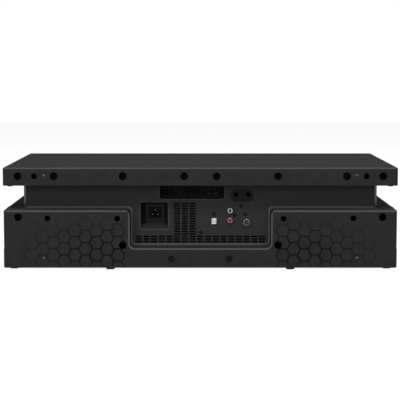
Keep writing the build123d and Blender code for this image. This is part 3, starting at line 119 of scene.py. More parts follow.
world = bpy.data.worlds.new("studio")
world.use_nodes = True
world_tree = world.node_tree
world_tree.nodes.clear()
world_out = world_tree.nodes.new("ShaderNodeOutputWorld")
sky = world_tree.nodes.new("ShaderNodeBackground")
sky.inputs["Color"].default_value = (1, 1, 1, 1)
direction = world_tree.nodes.new("ShaderNodeTexCoord")
rise = world_tree.nodes.new("ShaderNodeSeparateXYZ")
world_tree.links.new(direction.outputs["Generated"], rise.inputs[0])
backdrop = world_tree.nodes.new("ShaderNodeMapRange")
backdrop.inputs["From Min"].default_value = white_up_to
backdrop.inputs["From Max"].default_value = dim_from
backdrop.inputs["To Min"].default_value = 1.0
backdrop.inputs["To Max"].default_value = ambient_level
world_tree.links.new(rise.outputs["Z"], backdrop.inputs["Value"])
level = world_tree.nodes.new("ShaderNodeMapRange")
level.inputs["To Min"].default_value = ambient_level
world_tree.links.new(seen_directly(world_tree), level.inputs["Value"])
world_tree.links.new(backdrop.outputs["Result"], level.inputs["To Max"])
world_tree.links.new(level.outputs["Result"], sky.inputs["Strength"])
world_tree.links.new(sky.outputs[0], world_out.inputs["Surface"])
bpy.context.scene.world = world
print("world lights at", ambient_level)

# %% The floor
floor_reach = 6.0
floor_lift = 0.93
floor_grey = 0.18

floor_mesh = bpy.data.meshes.new("floor")
corners = [(x * floor_reach, y * floor_reach, 0) for x, y in ((-1, -1), (1, -1), (1, 1), (-1, 1))]
floor_mesh.from_pydata(corners, [], [(0, 1, 2, 3)])
floor = bpy.data.objects.new("floor", floor_mesh)
bpy.context.scene.collection.objects.link(floor)

floor_paint = bpy.data.materials.new("studio_floor")
floor_paint.use_nodes = True
floor_tree = floor_paint.node_tree
floor_tree.nodes.clear()
floor_out = floor_tree.nodes.new("ShaderNodeOutputMaterial")
floor_matt = floor_tree.nodes.new("ShaderNodeBsdfDiffuse")
floor_matt.inputs["Color"].default_value = (floor_grey, floor_grey, floor_grey, 1)
floor_glow = floor_tree.nodes.new("ShaderNodeEmission")
floor_sum = floor_tree.nodes.new("ShaderNodeAddShader")
glow_level = floor_tree.nodes.new("ShaderNodeMath")
glow_level.operation = "MULTIPLY"
glow_level.inputs[1].default_value = floor_lift
floor_tree.links.new(seen_directly(floor_tree), glow_level.inputs[0])
floor_tree.links.new(glow_level.outputs[0], floor_glow.inputs["Strength"])
floor_tree.links.new(floor_matt.outputs[0], floor_sum.inputs[0])
floor_tree.links.new(floor_glow.outputs[0], floor_sum.inputs[1])
floor_tree.links.new(floor_sum.outputs[0], floor_out.inputs["Surface"])
floor_mesh.materials.append(floor_paint)
print("floor", 2 * floor_reach, "m square")


# %% Soft lamps round the object
object_middle = Vector((0, 0, 0.09))


def soft_lamp(name, place, size, power):
    """A rectangular soft lamp that looks at the middle of the object."""
    data = bpy.data.lights.new(name, "AREA")
    data.shape = "RECTANGLE"
    data.size, data.size_y = size
    data.energy = power
    lamp = bpy.data.objects.new(name, data)
    lamp.location = place
    aim = object_middle - Vector(place)
    lamp.rotation_euler = aim.to_track_quat("-Z", "Y").to_euler()
    bpy.context.scene.collection.objects.link(lamp)


soft_lamp("lamp_above", (0, 0, 2.4), (2.0, 0.8), 21)
soft_lamp("lamp_rear", (0.3, 3.4, 0.85), (2.6, 1.3), 42)
soft_lamp("lamp_rear_high", (0, 1.9, 1.9), (2.4, 0.5), 26)
soft_lamp("lamp_front", (-0.3, -2.0, 2.6), (2.4, 1.4), 12)
soft_lamp("lamp_front_high", (0, -1.6, 2.2), (2.2, 0.4), 5)
for side, word in ((1, "right"), (-1, "left")):
    soft_lamp(f"lamp_{word}", (3.0 * side, 0, 1.2), (1.2, 1.2), 10)
    soft_lamp(f"lamp_front_{word}", (2.6 * side, -2.2, 1.5), (1.0, 1.0), 12)
print("nine soft lamps")

# %% [markdown]
# ## Finishes
# Nothing on a real machine is one flat colour. Moulded plastic carries the fine pits of its spark-eroded
# mould, steel carries the lines of rolling, and board carries fibres. Each finish here is a small node
# tree: a coarse noise moves the colour a little, and a fine one moves the roughness and makes the bump. The
# noise is read in object coordinates, in metres, so it keeps its real size and rides along with moving
# pieces.


# %% Helpers for node trees
def start_finish(name):
    """An empty material with a principled shader, as (material, tree, shader)."""
    material = bpy.data.materials.new(name)
    material.use_nodes = True
    tree = material.node_tree
    tree.nodes.clear()
    out = tree.nodes.new("ShaderNodeOutputMaterial")
    shader = tree.nodes.new("ShaderNodeBsdfPrincipled")
    tree.links.new(shader.outputs["BSDF"], out.inputs["Surface"])
    return material, tree, shader


def object_point(tree, stretch=(1, 1, 1)):
    """The place on the object in metres, stretched for grain that runs one way."""
    place = tree.nodes.new("ShaderNodeTexCoord")
    mapping = tree.nodes.new("ShaderNodeMapping")
    mapping.inputs["Scale"].default_value = stretch
    tree.links.new(place.outputs["Object"], mapping.inputs["Vector"])
    return mapping.outputs["Vector"]


def noise(tree, size, detail=2.0, stretch=(1, 1, 1)):
    """Noise whose lumps are about the given size in metres."""
    node = tree.nodes.new("ShaderNodeTexNoise")
    node.inputs["Scale"].default_value = 1 / size
    node.inputs["Detail"].default_value = detail
    tree.links.new(object_point(tree, stretch), node.inputs["Vector"])
    return node.outputs["Fac"]


def remap(tree, value, low, high, from_low=0.3, from_high=0.7):
    """A value moved from one range to another."""
    node = tree.nodes.new("ShaderNodeMapRange")
    node.inputs["From Min"].default_value = from_low
    node.inputs["From Max"].default_value = from_high
    node.inputs["To Min"].default_value = low
    node.inputs["To Max"].default_value = high
    tree.links.new(value, node.inputs["Value"])
    return node.outputs["Result"]


def blend_colours(tree, factor, first, second):
    """A colour between two, by a factor. Either may be a colour or another node's output."""
    node = tree.nodes.new("ShaderNodeMix")
    node.data_type = "RGBA"
    tree.links.new(factor, node.inputs["Factor"])
    for colour, socket in ((first, "A"), (second, "B")):
        target = [s for s in node.inputs if s.name == socket and s.type == "RGBA"][0]
        if isinstance(colour, tuple):
            target.default_value = (*colour, 1)
        else:
            tree.links.new(colour, target)
    return [s for s in node.outputs if s.type == "RGBA"][0]


def bump(tree, height, depth):
    """A bump of a real depth in metres."""
    node = tree.nodes.new("ShaderNodeBump")
    node.inputs["Strength"].default_value = 1.0
    node.inputs["Distance"].default_value = depth
    tree.links.new(height, node.inputs["Height"])
    return node.outputs["Normal"]


# %% Sums in a node tree
def arithmetic(tree, operation, first, second=0.0, third=None):
    """A maths node over outputs or plain numbers."""
    node = tree.nodes.new("ShaderNodeMath")
    node.operation = operation
    for socket, value in zip(node.inputs, (first, second, third)):
        if isinstance(value, (int, float)):
            socket.default_value = value
        elif value is not None:
            tree.links.new(value, socket)
    return node.outputs[0]


def coordinates(tree):
    """The three coordinates on the object, in metres."""
    parts = tree.nodes.new("ShaderNodeSeparateXYZ")
    tree.links.new(object_point(tree), parts.inputs[0])
    return parts.outputs["X"], parts.outputs["Y"], parts.outputs["Z"]


def between(tree, value, low, high):
    """One where a value lies between two others."""
    return arithmetic(tree, "COMPARE", value, (low + high) / 2, (high - low) / 2)


def apart(tree, value, place):
    """How far a value lies from a place, to either side."""
    return arithmetic(tree, "ABSOLUTE", arithmetic(tree, "SUBTRACT", value, place))


def sum_of_squares(tree, first, second):
    """The square of the diagonal over two sides."""
    squares = [arithmetic(tree, "MULTIPLY", v, v) for v in (first, second)]
    return arithmetic(tree, "ADD", *squares)


def diagonal(tree, first, second):
    """The diagonal over two sides."""
    return arithmetic(tree, "SQRT", sum_of_squares(tree, first, second))


def all_of(tree, *masks):
    """One where every mask is one."""
    result = masks[0]
    for mask in masks[1:]:
        result = arithmetic(tree, "MULTIPLY", result, mask)
    return result


def any_of(tree, *masks):
    """One where some mask is one."""
    result = masks[0]
    for mask in masks[1:]:
        result = arithmetic(tree, "MAXIMUM", result, mask)
    return result


# %% Masks that follow the shape of a piece
def in_box(tree, low, high, both_sides=False):
    """One inside a box of object space. With both_sides its mirror image counts too."""
    x, y, z = coordinates(tree)
    across = arithmetic(tree, "ABSOLUTE", x) if both_sides else x
    return all_of(tree, *(between(tree, v, a, b) for v, a, b in zip((across, y, z), low, high)))


def box_edges(tree, low, high, reach):
    """One within reach of the edges of a box, where more than one of its sides is near."""
    near = None
    for value, a, b in zip(coordinates(tree), low, high):
        here = arithmetic(tree, "GREATER_THAN", apart(tree, value, (a + b) / 2), (b - a) / 2 - reach)
        near = here if near is None else arithmetic(tree, "ADD", near, here)
    return arithmetic(tree, "GREATER_THAN", near, 1.5)


def outline_distance(tree, middle, size, corner):
    """How far a point of the rear lies outside a rounded rectangle there, below nought inside it."""
    x, _, z = coordinates(tree)
    over = []
    for value, centre, side in ((x, middle[0], size[0]), (z, middle[1], size[1])):
        over.append(arithmetic(tree, "SUBTRACT", apart(tree, value, centre), side / 2 - corner))
    length = diagonal(tree, *(arithmetic(tree, "MAXIMUM", v) for v in over))
    within = arithmetic(tree, "MINIMUM", arithmetic(tree, "MAXIMUM", *over), 0.0)
    return arithmetic(tree, "SUBTRACT", arithmetic(tree, "ADD", length, within), corner)


def inside(tree, distance, margin):
    """One inside an outline and up to a margin outside it, from the distance to the outline."""
    deepest = -0.2
    return between(tree, distance, deepest, margin)


def off_axis(tree, x, z):
    """The distance from a line along Y through a place on the rear, in metres."""
    across, _, up = coordinates(tree)
    return diagonal(tree, arithmetic(tree, "SUBTRACT", across, x), arithmetic(tree, "SUBTRACT", up, z))


# %% The nearest of the cells in staggered rows
def nearest_cell(tree, across, up, start, step, pitch):
    """The offsets from the nearest centre, where columns a step apart stand half a pitch up in turn."""
    offsets = []
    for x_start, z_start in (start, (start[0] + step, start[1] + pitch / 2)):
        side = arithmetic(tree, "WRAP", arithmetic(tree, "SUBTRACT", across, x_start), step, -step)
        rise = arithmetic(tree, "WRAP", arithmetic(tree, "SUBTRACT", up, z_start), pitch / 2, -pitch / 2)
        offsets.append((side, rise, sum_of_squares(tree, side, rise)))
    first, second = offsets
    pick = arithmetic(tree, "LESS_THAN", first[2], second[2])
    return tuple(
        arithmetic(tree, "MULTIPLY_ADD", arithmetic(tree, "SUBTRACT", a, b), pick, b)
        for a, b in zip(first[:2], second[:2]))


# %% A finish for moulded, painted and rolled surfaces
grains_per_cloud = 40
roughness_wander = 0.05


def shade(colour, share):
    """A colour made lighter or darker by a share of itself, or another colour outright."""
    if isinstance(share, tuple):
        return share
    return tuple(min(1.0, c * share) for c in colour)


def surface(name, colour, roughness, grain, depth, wander=0.12, metallic=0.0, level=0.5, stretch=(1, 1, 1),
            touches=None):
    """A finish with wandering colour and roughness and a fine bump of the grain's own size.

    grain and depth are in metres, wander is the share by which the colour varies, and level is the
    strength of the plain reflection. touches is a function of the tree that gives pairs of a mask
    and a share, for places where the colour is that share of the rest. A colour in place of the share is
    laid over as it is, and a later pair lies over an earlier one.
    """
    material, tree, shader = start_finish(name)
    cloud = noise(tree, grain * grains_per_cloud, 3.0)
    tone = blend_colours(tree, remap(tree, cloud, 0, 1), shade(colour, 1 - wander), shade(colour, 1 + wander))
    for mask, share in touches(tree) if touches else ():
        tone = blend_colours(tree, mask, tone, shade(colour, share))
    tree.links.new(tone, shader.inputs["Base Color"])
    pits = noise(tree, grain, 2.0, stretch)
    rough = remap(tree, pits, roughness - roughness_wander, roughness + roughness_wander)
    tree.links.new(rough, shader.inputs["Roughness"])
    tree.links.new(bump(tree, pits, depth), shader.inputs["Normal"])
    shader.inputs["Metallic"].default_value = metallic
    shader.inputs["Specular IOR Level"].default_value = level
    material.diffuse_color = (*colour, 1)
    return material


case_black = (0.026, 0.026, 0.0263)
knob_black = (0.016, 0.016, 0.0165)
case_look = {"colour": case_black, "roughness": 0.5, "grain": 0.0005, "depth": 0.000004, "level": 0.07}
# The inner faces of the cabinet take painted shade, darkened near black so that the slots show dark.
inside_low, inside_high = (0.0, -0.18, 0.012), (0.3, 0.143, 0.149)
inside_shade_share = 0.12


def painted_inside_shade(tree):
    """Pairs of mask and share that paint shade on the inner faces of the cabinet, near black behind the slots.
    """
    return [(in_box(tree, inside_low, inside_high, True), inside_shade_share)]


# Name, colour, roughness, size of the grain, its depth, and what differs from the rest.
plain_finishes = [
    ("foot_rubber", (0.018, 0.018, 0.018), 0.8, 0.0006, 0.00004, {"level": 0.2}),
    ("black_steel", (0.008, 0.008, 0.008), 0.5, 0.0004, 0.00001, {"level": 0.1}),
    ("socket_black", (0.009, 0.009, 0.009), 0.45, 0.0004, 0.00001, {"level": 0.3}),
    ("ferrite", (0.035, 0.034, 0.034), 0.75, 0.0008, 0.00005, {}),
    ("grille_black", (0.012, 0.012, 0.012), 0.45, 0.0004, 0.00001, {"level": 0.35}),
    ("window_dark", (0.006, 0.006, 0.007), 0.06, 0.001, 0.0000005, {}),
    ("knob_plastic", knob_black, 0.32, 0.0004, 0.000008, {"level": 0.4}),
    ("basket_steel", (0.16, 0.16, 0.165), 0.42, 0.0005, 0.00002, {"wander": 0.1, "metallic": 0.6}),
    ("tray_plastic", (0.018, 0.018, 0.019), 0.42, 0.0005, 0.000015, {"level": 0.35}),
    ("door_plastic", (0.013, 0.013, 0.0135), 0.3, 0.0005, 0.00001, {"level": 0.4}),
    ("gear_plastic", (0.72, 0.7, 0.64), 0.4, 0.0005, 0.00001, {}),
    ("polished_steel", (0.62, 0.62, 0.64), 0.16, 0.0003, 0.000003,
     {"wander": 0.04, "metallic": 1.0, "stretch": (1, 0.03, 1)}),
    ("zinc_steel", (0.55, 0.56, 0.57), 0.34, 0.002, 0.00001, {"metallic": 1.0}),
    ("pin_metal", (0.09, 0.088, 0.085), 0.45, 0.0003, 0.000004, {"wander": 0.05, "metallic": 0.4}),
    ("black_anodised", (0.006, 0.006, 0.0065), 0.4, 0.0004, 0.00001, {"wander": 0.08, "level": 0.15}),
    ("varnished_core", (0.008, 0.007, 0.0065), 0.5, 0.0006, 0.00004, {"level": 0.15}),
    ("dark_socket", (0.0035, 0.0035, 0.0035), 0.6, 0.0004, 0.00001, {"level": 0.06}),
]
finishes = {"case_plastic": surface("case_plastic", **case_look, touches=painted_inside_shade)}
for name, colour, roughness, grain, depth, more in plain_finishes:
    finishes[name] = surface(name, colour, roughness, grain, depth, **more)
print(len(finishes), "plain finishes")

# %% [markdown]
# ### The two big mouldings
# The plate and the rear cover are the same black plastic, and their colour carries painted light. Painted
# highlights lighten the outer edges, the pips and the lines round the bay and the openings. Painted light lifts
# the neck wall, the ledges and the bay's sill. Painted shade darkens the deep wells, the fan outlet, the slots,
# the funnel, the jack recess and the upper sides of the honeycomb cells. A mask made from object coordinates
# finds those places: two near sides make an edge, and the distance to a rounded rectangle draws the line round
# the connector bay.

# %% Places on the mouldings, in metres
plate_low, plate_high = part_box("top_cover")
_, cover_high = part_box("rear_cover")
neck_y = rear_y - 0.048
base_top = 0.1079
far_side = 0.4
edge_reach = 0.0019
line_reach = 0.0026
lip_height = 0.0025
pip_size = (0.004, 0.0035)
plate_pip, base_pip = (0.2758, 0.1690), (0.2775, 0.0214)
bay_half, bay_bottom, bay_tall, bay_corner = 0.126, 0.040, 0.2, 0.009
funnel_place, funnel_size, funnel_corner = (0.0839, 0.0937), (0.0498, 0.0481), 0.001
outlet_place, outlet_size, outlet_corner = (0.01515, 0.137), (0.1173, 0.026), 0.005
recess_place, recess_size, recess_corner = (-0.07585, 0.1302), (0.0417, 0.022), 0.0109

# Ranges along Y, from the inside of the case to its rear.
duct_span = (neck_y - 0.06, neck_y - 0.0012)
bars_span = (neck_y - 0.06, neck_y + 0.001)
recess_span = (neck_y - 0.02, neck_y - 0.001)
slots_span = (neck_y - 0.006, neck_y - 0.0006)
wall_line_span = (neck_y - line_reach, neck_y + line_reach)
wall_span = (neck_y - 0.0006, neck_y + 0.0015)
gap_span = (neck_y, rear_y)
wells_span = (rear_y - 0.045, rear_y + 0.0015)
relief_span = (rear_y - 0.003, rear_y + 0.001)
rear_line_span = (rear_y - line_reach, rear_y + 0.001)
print("edges of the plate from", rounded(plate_low), "to", rounded(plate_high))


# %% Plate with painted highlights on its edges and pips and painted shade in its screw wells
def wells_at(tree, places):
    """One at the mouth of each screw well and inside it. Places are (x, z, radius) on one side."""
    x, y, z = coordinates(tree)
    across = arithmetic(tree, "ABSOLUTE", x)
    mouth_rim = 0.0007
    rings = []
    for well_x, well_z, radius in places:
        side = arithmetic(tree, "SUBTRACT", across, well_x)
        rise = arithmetic(tree, "SUBTRACT", z, well_z)
        rings.append(arithmetic(tree, "LESS_THAN", diagonal(tree, side, rise), radius + mouth_rim))
    return all_of(tree, any_of(tree, *rings), between(tree, y, *wells_span))


def pips_at(tree, corner):
    """One on the two small pips of the rear that have their lower corners at (x, z) and its mirror image."""
    low = (corner[0], rear_y - 0.001, corner[1])
    high = (corner[0] + pip_size[0], rear_y + 0.002, corner[1] + pip_size[1])
    return in_box(tree, low, high, True)


wide_well, slim_well = 0.0065, 0.0048
plate_wells = [(x, 0.169, wide_well) for x in (0.3243, 0.2601, 0.1379, 0.0287)] + [(0.2952, 0.169, slim_well)]


def plate_touches(tree):
    """Pairs of mask and share for the plate: painted highlights on its upper edges and pips, painted shade in
    its screw wells.
    """
    _, _, z = coordinates(tree)
    # Only edges above the plate's lower lip take the painted highlight.
    upper = arithmetic(tree, "GREATER_THAN", z, plate_low[2] + lip_height)
    edges = all_of(tree, box_edges(tree, plate_low, plate_high, edge_reach), upper)
    return [(edges, 3.8), (pips_at(tree, plate_pip), 5.0), (wells_at(tree, plate_wells), 0.05)]


finishes["plate_plastic"] = surface("plate_plastic", **case_look, touches=plate_touches)
print("plate with", 2 * len(plate_wells), "dark wells")


# %% Painted shadow in the honeycomb
hex_pitch, hex_start, hex_step = 0.02215, (0.1472, 0.0071), 0.01918
# The cosine and sine of 30 degrees, for the slanting sides.
hex_slant = (0.866, 0.5)
hex_line = 0.0084
hex_across, hex_up = (hex_start[0] - 0.012, 0.315), (0.008, 0.088)
fade_start, fade_size = (hex_start[0], 0.03), (0.21, 0.075)


def honeycomb_painted_shadow(tree):
    """Painted shadow: dark lines along the upper sides of the six-sided cells, fading outwards and upwards."""
    x, y, z = coordinates(tree)
    across = arithmetic(tree, "ABSOLUTE", x)
    side, rise = nearest_cell(tree, across, z, hex_start, hex_step, hex_pitch)
    half_rise = arithmetic(tree, "MULTIPLY", rise, hex_slant[1])
    slant = arithmetic(tree, "MULTIPLY_ADD", arithmetic(tree, "ABSOLUTE", side), hex_slant[0], half_rise)
    line = arithmetic(tree, "GREATER_THAN", arithmetic(tree, "MAXIMUM", rise, slant), hex_line)
    out, up = (
        arithmetic(tree, "DIVIDE", arithmetic(tree, "SUBTRACT", value, start), size)
        for value, start, size in zip((across, z), fade_start, fade_size))
    fade = remap(tree, diagonal(tree, out, up), low=0.8, high=0.0, from_low=0.35, from_high=1.0)
    spread = all_of(tree, between(tree, across, *hex_across), between(tree, z, *hex_up))
    return all_of(tree, line, fade, spread, between(tree, y, *relief_span))


print("honeycomb cells", hex_pitch, "m apart")


# %% Painted shade round the vent slots
slot_first, slot_pitch, slot_half = (0.112, 0.046), (0.014, 0.00464), (0.0057, 0.00155)
low_row = ((-0.1185, 0.1185), (0.0437, 0.0576))
tall_columns = ((0.0072, 0.0488), (0.0437, 0.1179))


def slot_painted_shade(tree):
    """Painted shade round the mouths of the vent slots: a low row across the bay and three tall columns."""
    x, y, z = coordinates(tree)
    near = []
    for value, start, pitch, half in zip((x, z), slot_first, slot_pitch, slot_half):
        offset = arithmetic(tree, "WRAP", arithmetic(tree, "SUBTRACT", value, start), pitch / 2, -pitch / 2)
        near.append(between(tree, offset, -half, half))
    blocks = [
        all_of(tree, between(tree, x, *across), between(tree, z, *up))
        for across, up in (low_row, tall_columns)]
    return all_of(tree, *near, any_of(tree, *blocks), between(tree, y, *wall_span))


print("vent slots", slot_pitch, "m apart")


# %% Rear cover with painted highlights and painted light round the bay and painted shade in the hollows
base_wells = [(0.3245, 0.0959, wide_well), (0.1386, 0.0456, wide_well),
              (0.2723, 0.0939, slim_well), (0.1481, 0.0932, slim_well)]
strip_wells = [(0.0516, 0.0203, 0.0052)]
shelf_up = (base_top - 0.0008, base_top + 0.0015)
sill_up = (bay_bottom - 0.003, bay_bottom + 0.006)
slots_up = (0.041, 0.118)
slope_up = (0.06, 0.0775)
lip_band = (-0.0005, edge_reach)
hollow_margin, bars_margin = 0.001, -0.0008


def bay_touches(tree):
    """Pairs of mask and share for the neck's wall, the bay, the ledges beside it and the honeycomb."""
    x, y, z = coordinates(tree)
    across = arithmetic(tree, "ABSOLUTE", x)
    near_face, near_wall = between(tree, y, *rear_line_span), between(tree, y, *wall_line_span)
    over_gap = between(tree, y, *gap_span)
    base = between(tree, z, 0, base_top)
    bay = outline_distance(tree, (0, bay_bottom + bay_tall / 2), (2 * bay_half, bay_tall), bay_corner)
    bay_line = between(tree, bay, -line_reach, line_reach)
    lip, foot = (all_of(tree, near, base, bay_line) for near in (near_face, near_wall))
    aside = between(tree, across, bay_half, far_side)
    top_line = between(tree, z, base_top - line_reach, base_top + line_reach)
    ledge = all_of(tree, top_line, any_of(tree, near_face, near_wall), aside)
    corner = all_of(tree, near_face, between(tree, across, cover_high[0] - edge_reach, far_side))
    shelf = all_of(tree, over_gap, aside, between(tree, z, *shelf_up))
    sill = all_of(tree, over_gap, bay_line, between(tree, z, *sill_up))
    # Painted light on the neck wall, the shelf and the bay's sill, painted shadow along the honeycomb cells,
    # and painted highlights along the lip, ledge, foot and outer corner lines.
    return [
        (between(tree, y, *wall_span), 1.3),
        (shelf, 2.2),
        (sill, 2.2),
        (honeycomb_painted_shadow(tree), 0.06),
        (any_of(tree, lip, ledge, foot), 4.2),
        (corner, 1.8),
    ]


def opening_touches(tree):
    """Pairs of mask and share for the funnel, the fan outlet, the slots, the jack recess and the wells."""
    _, y, z = coordinates(tree)
    near_wall, behind_wall = between(tree, y, *wall_line_span), between(tree, y, *duct_span)
    funnel = outline_distance(tree, funnel_place, funnel_size, funnel_corner)
    outlet = outline_distance(tree, outlet_place, outlet_size, outlet_corner)
    recess = outline_distance(tree, recess_place, recess_size, recess_corner)
    funnel_lip, outlet_lip = (
        all_of(tree, near_wall, between(tree, opening, *lip_band)) for opening in (funnel, outlet))
    slots = all_of(tree, between(tree, y, *slots_span), between(tree, z, *slots_up))
    bars = all_of(tree, between(tree, y, *bars_span), inside(tree, outlet, bars_margin))
    duct = any_of(tree, all_of(tree, behind_wall, inside(tree, outlet, hollow_margin)), bars)
    cone = all_of(tree, behind_wall, inside(tree, funnel, hollow_margin))
    slope = all_of(tree, cone, between(tree, z, *slope_up))
    pill = all_of(tree, inside(tree, recess, hollow_margin), between(tree, y, *recess_span))
    # Painted highlights on the two lips and the pips, painted light on the funnel's lower slope, and painted
    # shade in the slots, the fan duct, the funnel, the jack recess and the screw wells.
    return [
        (funnel_lip, 2.6),
        (outlet_lip, 2.4),
        (slot_painted_shade(tree), 0.12),
        (pips_at(tree, base_pip), 5.0),
        (slots, 0.1),
        (duct, 0.05),
        (cone, 0.45),
        (slope, 1.5),
        (pill, 0.45),
        (wells_at(tree, base_wells), 0.05),
        (wells_at(tree, strip_wells), 0.35),
    ]


def rear_touches(tree):
    """Pairs of mask and share for the rear cover."""
    return bay_touches(tree) + opening_touches(tree)


finishes["rear_plastic"] = surface("rear_plastic", **case_look, touches=rear_touches)
print("rear cover with", 2 * len(base_wells + strip_wells), "dark wells")

# %% [markdown]
# ### Sockets, pins and pointer lines
# A socket is small, and its parts are told apart by how far they lie from its axis: the hole, painted near
# black as painted shade, the coloured insulator and the metal sleeve. Three separate materials would need three
# sets of faces. Rings of colour measured from the axis need none, and stay sharp however coarse the mesh is.


# %% Sockets ringed by colour
def ringed(name, colour, place, rings, roughness=0.35):
    """A finish whose rings round a socket's axis are (inner, outer, colour)."""
    def touches(tree):
        away = off_axis(tree, *place)
        return [(between(tree, away, low, high), tint) for low, high, tint in rings]
    return surface(name, colour, roughness, 0.0004, 0.000006, wander=0.05, level=0.4, touches=touches)


# The hole of each socket and the gap round the coax pin are painted shade, near black or dark red. The pale
# pink outer ring of the red socket is its metal sleeve with a painted reflection of the red.
painted_hole_shade = (0.004, 0.004, 0.004)
finishes["white_phono"] = ringed(
    "white_phono", (0.95, 0.95, 0.93), (-0.0538, 0.1029), [(0, 0.0025, painted_hole_shade)])
finishes["red_phono"] = ringed(
    "red_phono", (0.62, 0.02, 0.08), (-0.0538, 0.0855),
    [(0, 0.0022, (0.3, 0.0, 0.03)), (0.0033, 0.006, (0.85, 0.3, 0.4))])
finishes["coax_metal"] = ringed(
    "coax_metal", (0.42, 0.42, 0.42), (-0.0835, 0.0821),
    [(0.0014, 0.0047, painted_hole_shade), (0, 0.0014, (0.1, 0.1, 0.1))], 0.45)
flank_width, flank_share = 0.0012, 0.06


def plug_touches(tree):
    """The shaded flanks of the white aerial-wire socket."""
    low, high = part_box("wire_antenna_socket")
    middle, half = (low[0] + high[0]) / 2, (high[0] - low[0]) / 2
    x, _, _ = coordinates(tree)
    return [(between(tree, apart(tree, x, middle), half - flank_width, half + 0.001), flank_share)]


finishes["wire_socket"] = surface("wire_socket", (0.9, 0.9, 0.88), 0.35, 0.0004, 0.000006, touches=plug_touches)
print("finishes for the four coloured sockets")


# %% Pointer lines on the knobs
def middle_of(node):
    """The middle of a CAD node across the front, as (x, z)."""
    low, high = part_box(node)
    return (low[0] + high[0]) / 2, (low[2] + high[2]) / 2


pointer_half = 0.0006
pointer_share = {"volume_knob": (0.55, 0.88), "level_knob": (0.2, 0.75)}
pointer_paint = (0.6, 0.6, 0.58)


def pointer_touches(node):
    """The pale paint in the sunk line of a knob, as a function that surface can use."""
    low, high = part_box(node)
    x, z = middle_of(node)
    radius = (high[0] - low[0]) / 2
    start, end = (z + radius * share for share in pointer_share[node])
    box = (x - pointer_half, low[1] - 0.001, start), (x + pointer_half, low[1] + 0.0009, end)
    return lambda tree: [(in_box(tree, *box), pointer_paint)]


for node in pointer_share:
    finishes[node] = surface(node, knob_black, 0.32, 0.0004, 0.000006, level=0.4, touches=pointer_touches(node))
print("pointer lines on", sorted(pointer_share))

# %% [markdown]
# ### Finishes with a pattern of their own
# A circuit board, a paper cone, raw particle board and smoked glass need more than grain. The board's
# copper tracks are a brick pattern under green lacquer, the cone has fibres, and particle board is a
# crowd of pressed chips, which Voronoi cells make well.


# %% Circuit board, cone, particle board and smoked glass
def circuit_board():
    """Green lacquer over straight copper tracks."""
    material, tree, shader = start_finish("board_green")
    tracks = tree.nodes.new("ShaderNodeTexBrick")
    tracks.inputs["Scale"].default_value = 160.0
    tracks.inputs["Mortar Size"].default_value = 0.06
    tree.links.new(object_point(tree), tracks.inputs["Vector"])
    tone = blend_colours(tree, tracks.outputs["Fac"], (0.004, 0.026, 0.011), (0.01, 0.055, 0.022))
    tree.links.new(tone, shader.inputs["Base Color"])
    tree.links.new(remap(tree, noise(tree, 0.004), 0.3, 0.45), shader.inputs["Roughness"])
    tree.links.new(bump(tree, tracks.outputs["Fac"], 0.00004), shader.inputs["Normal"])
    return material


def cone_paper():
    """Coated paper pulp with short crossing fibres."""
    material, tree, shader = start_finish("cone_paper")
    fibres = noise(tree, 0.0012, 6.0, (1, 1, 3))
    tone = blend_colours(tree, remap(tree, fibres, 0, 1), (0.014, 0.014, 0.015), (0.032, 0.032, 0.033))
    tree.links.new(tone, shader.inputs["Base Color"])
    tree.links.new(remap(tree, fibres, 0.6, 0.85), shader.inputs["Roughness"])
    tree.links.new(bump(tree, fibres, 0.0001), shader.inputs["Normal"])
    return material


def particle_board():
    """Pressed wood chips under clouds of darker and lighter wood."""
    material, tree, shader = start_finish("board_wood")
    chips = tree.nodes.new("ShaderNodeTexVoronoi")
    chips.inputs["Scale"].default_value = 450.0
    tree.links.new(object_point(tree, (1, 1, 0.4)), chips.inputs["Vector"])
    cloud = remap(tree, noise(tree, 0.004, 4.0), 0, 1)
    tone = blend_colours(tree, cloud, (0.05, 0.035, 0.022), (0.09, 0.062, 0.04))
    pale = blend_colours(tree, remap(tree, chips.outputs["Distance"], 0, 1, 0, 1), tone, (0.12, 0.09, 0.06))
    tree.links.new(pale, shader.inputs["Base Color"])
    tree.links.new(remap(tree, chips.outputs["Distance"], 0.7, 0.9, 0, 1), shader.inputs["Roughness"])
    tree.links.new(bump(tree, chips.outputs["Distance"], 0.0002), shader.inputs["Normal"])
    return material


def smoked_glass():
    """The dark glass of the display tube, faintly lined by its filaments."""
    material, tree, shader = start_finish("display_glass")
    wires = noise(tree, 0.0008, 1.0, (0.02, 1, 1))
    tone = blend_colours(tree, remap(tree, wires, 0, 1), (0.01, 0.014, 0.015), (0.02, 0.03, 0.03))
    tree.links.new(tone, shader.inputs["Base Color"])
    tree.links.new(remap(tree, wires, 0.08, 0.14), shader.inputs["Roughness"])
    return material


finishes["board_green"] = circuit_board()
finishes["cone_paper"] = cone_paper()
finishes["board_wood"] = particle_board()
finishes["display_glass"] = smoked_glass()
print(len(finishes), "finishes in all")

# %% [markdown]
# ### Putting the finishes on
# The CAD record names a material slot for each node. Each node takes the finish of its slot, or one of its
# own where the photograph shows something more special. Round surfaces are shaded smooth with sharp edges
# kept, which changes how light falls and moves no point.

# %% Dress every CAD node
smooth_angle = math.radians(32)
own_finish = {
    "top_cover": "plate_plastic",
    "rear_cover": "rear_plastic",
    "white_phono_jack": "white_phono",
    "red_phono_jack": "red_phono",
    "coax_antenna_socket": "coax_metal",
    "wire_antenna_socket": "wire_socket",
    "inlet_pins": "pin_metal",
    "mains_inlet": "dark_socket",
    "rear_jack_sockets": "dark_socket",
    "fan_frame": "dark_socket",
    "fan_rotor": "dark_socket",
    "heat_sink": "black_anodised",
    "transformer": "varnished_core",
}


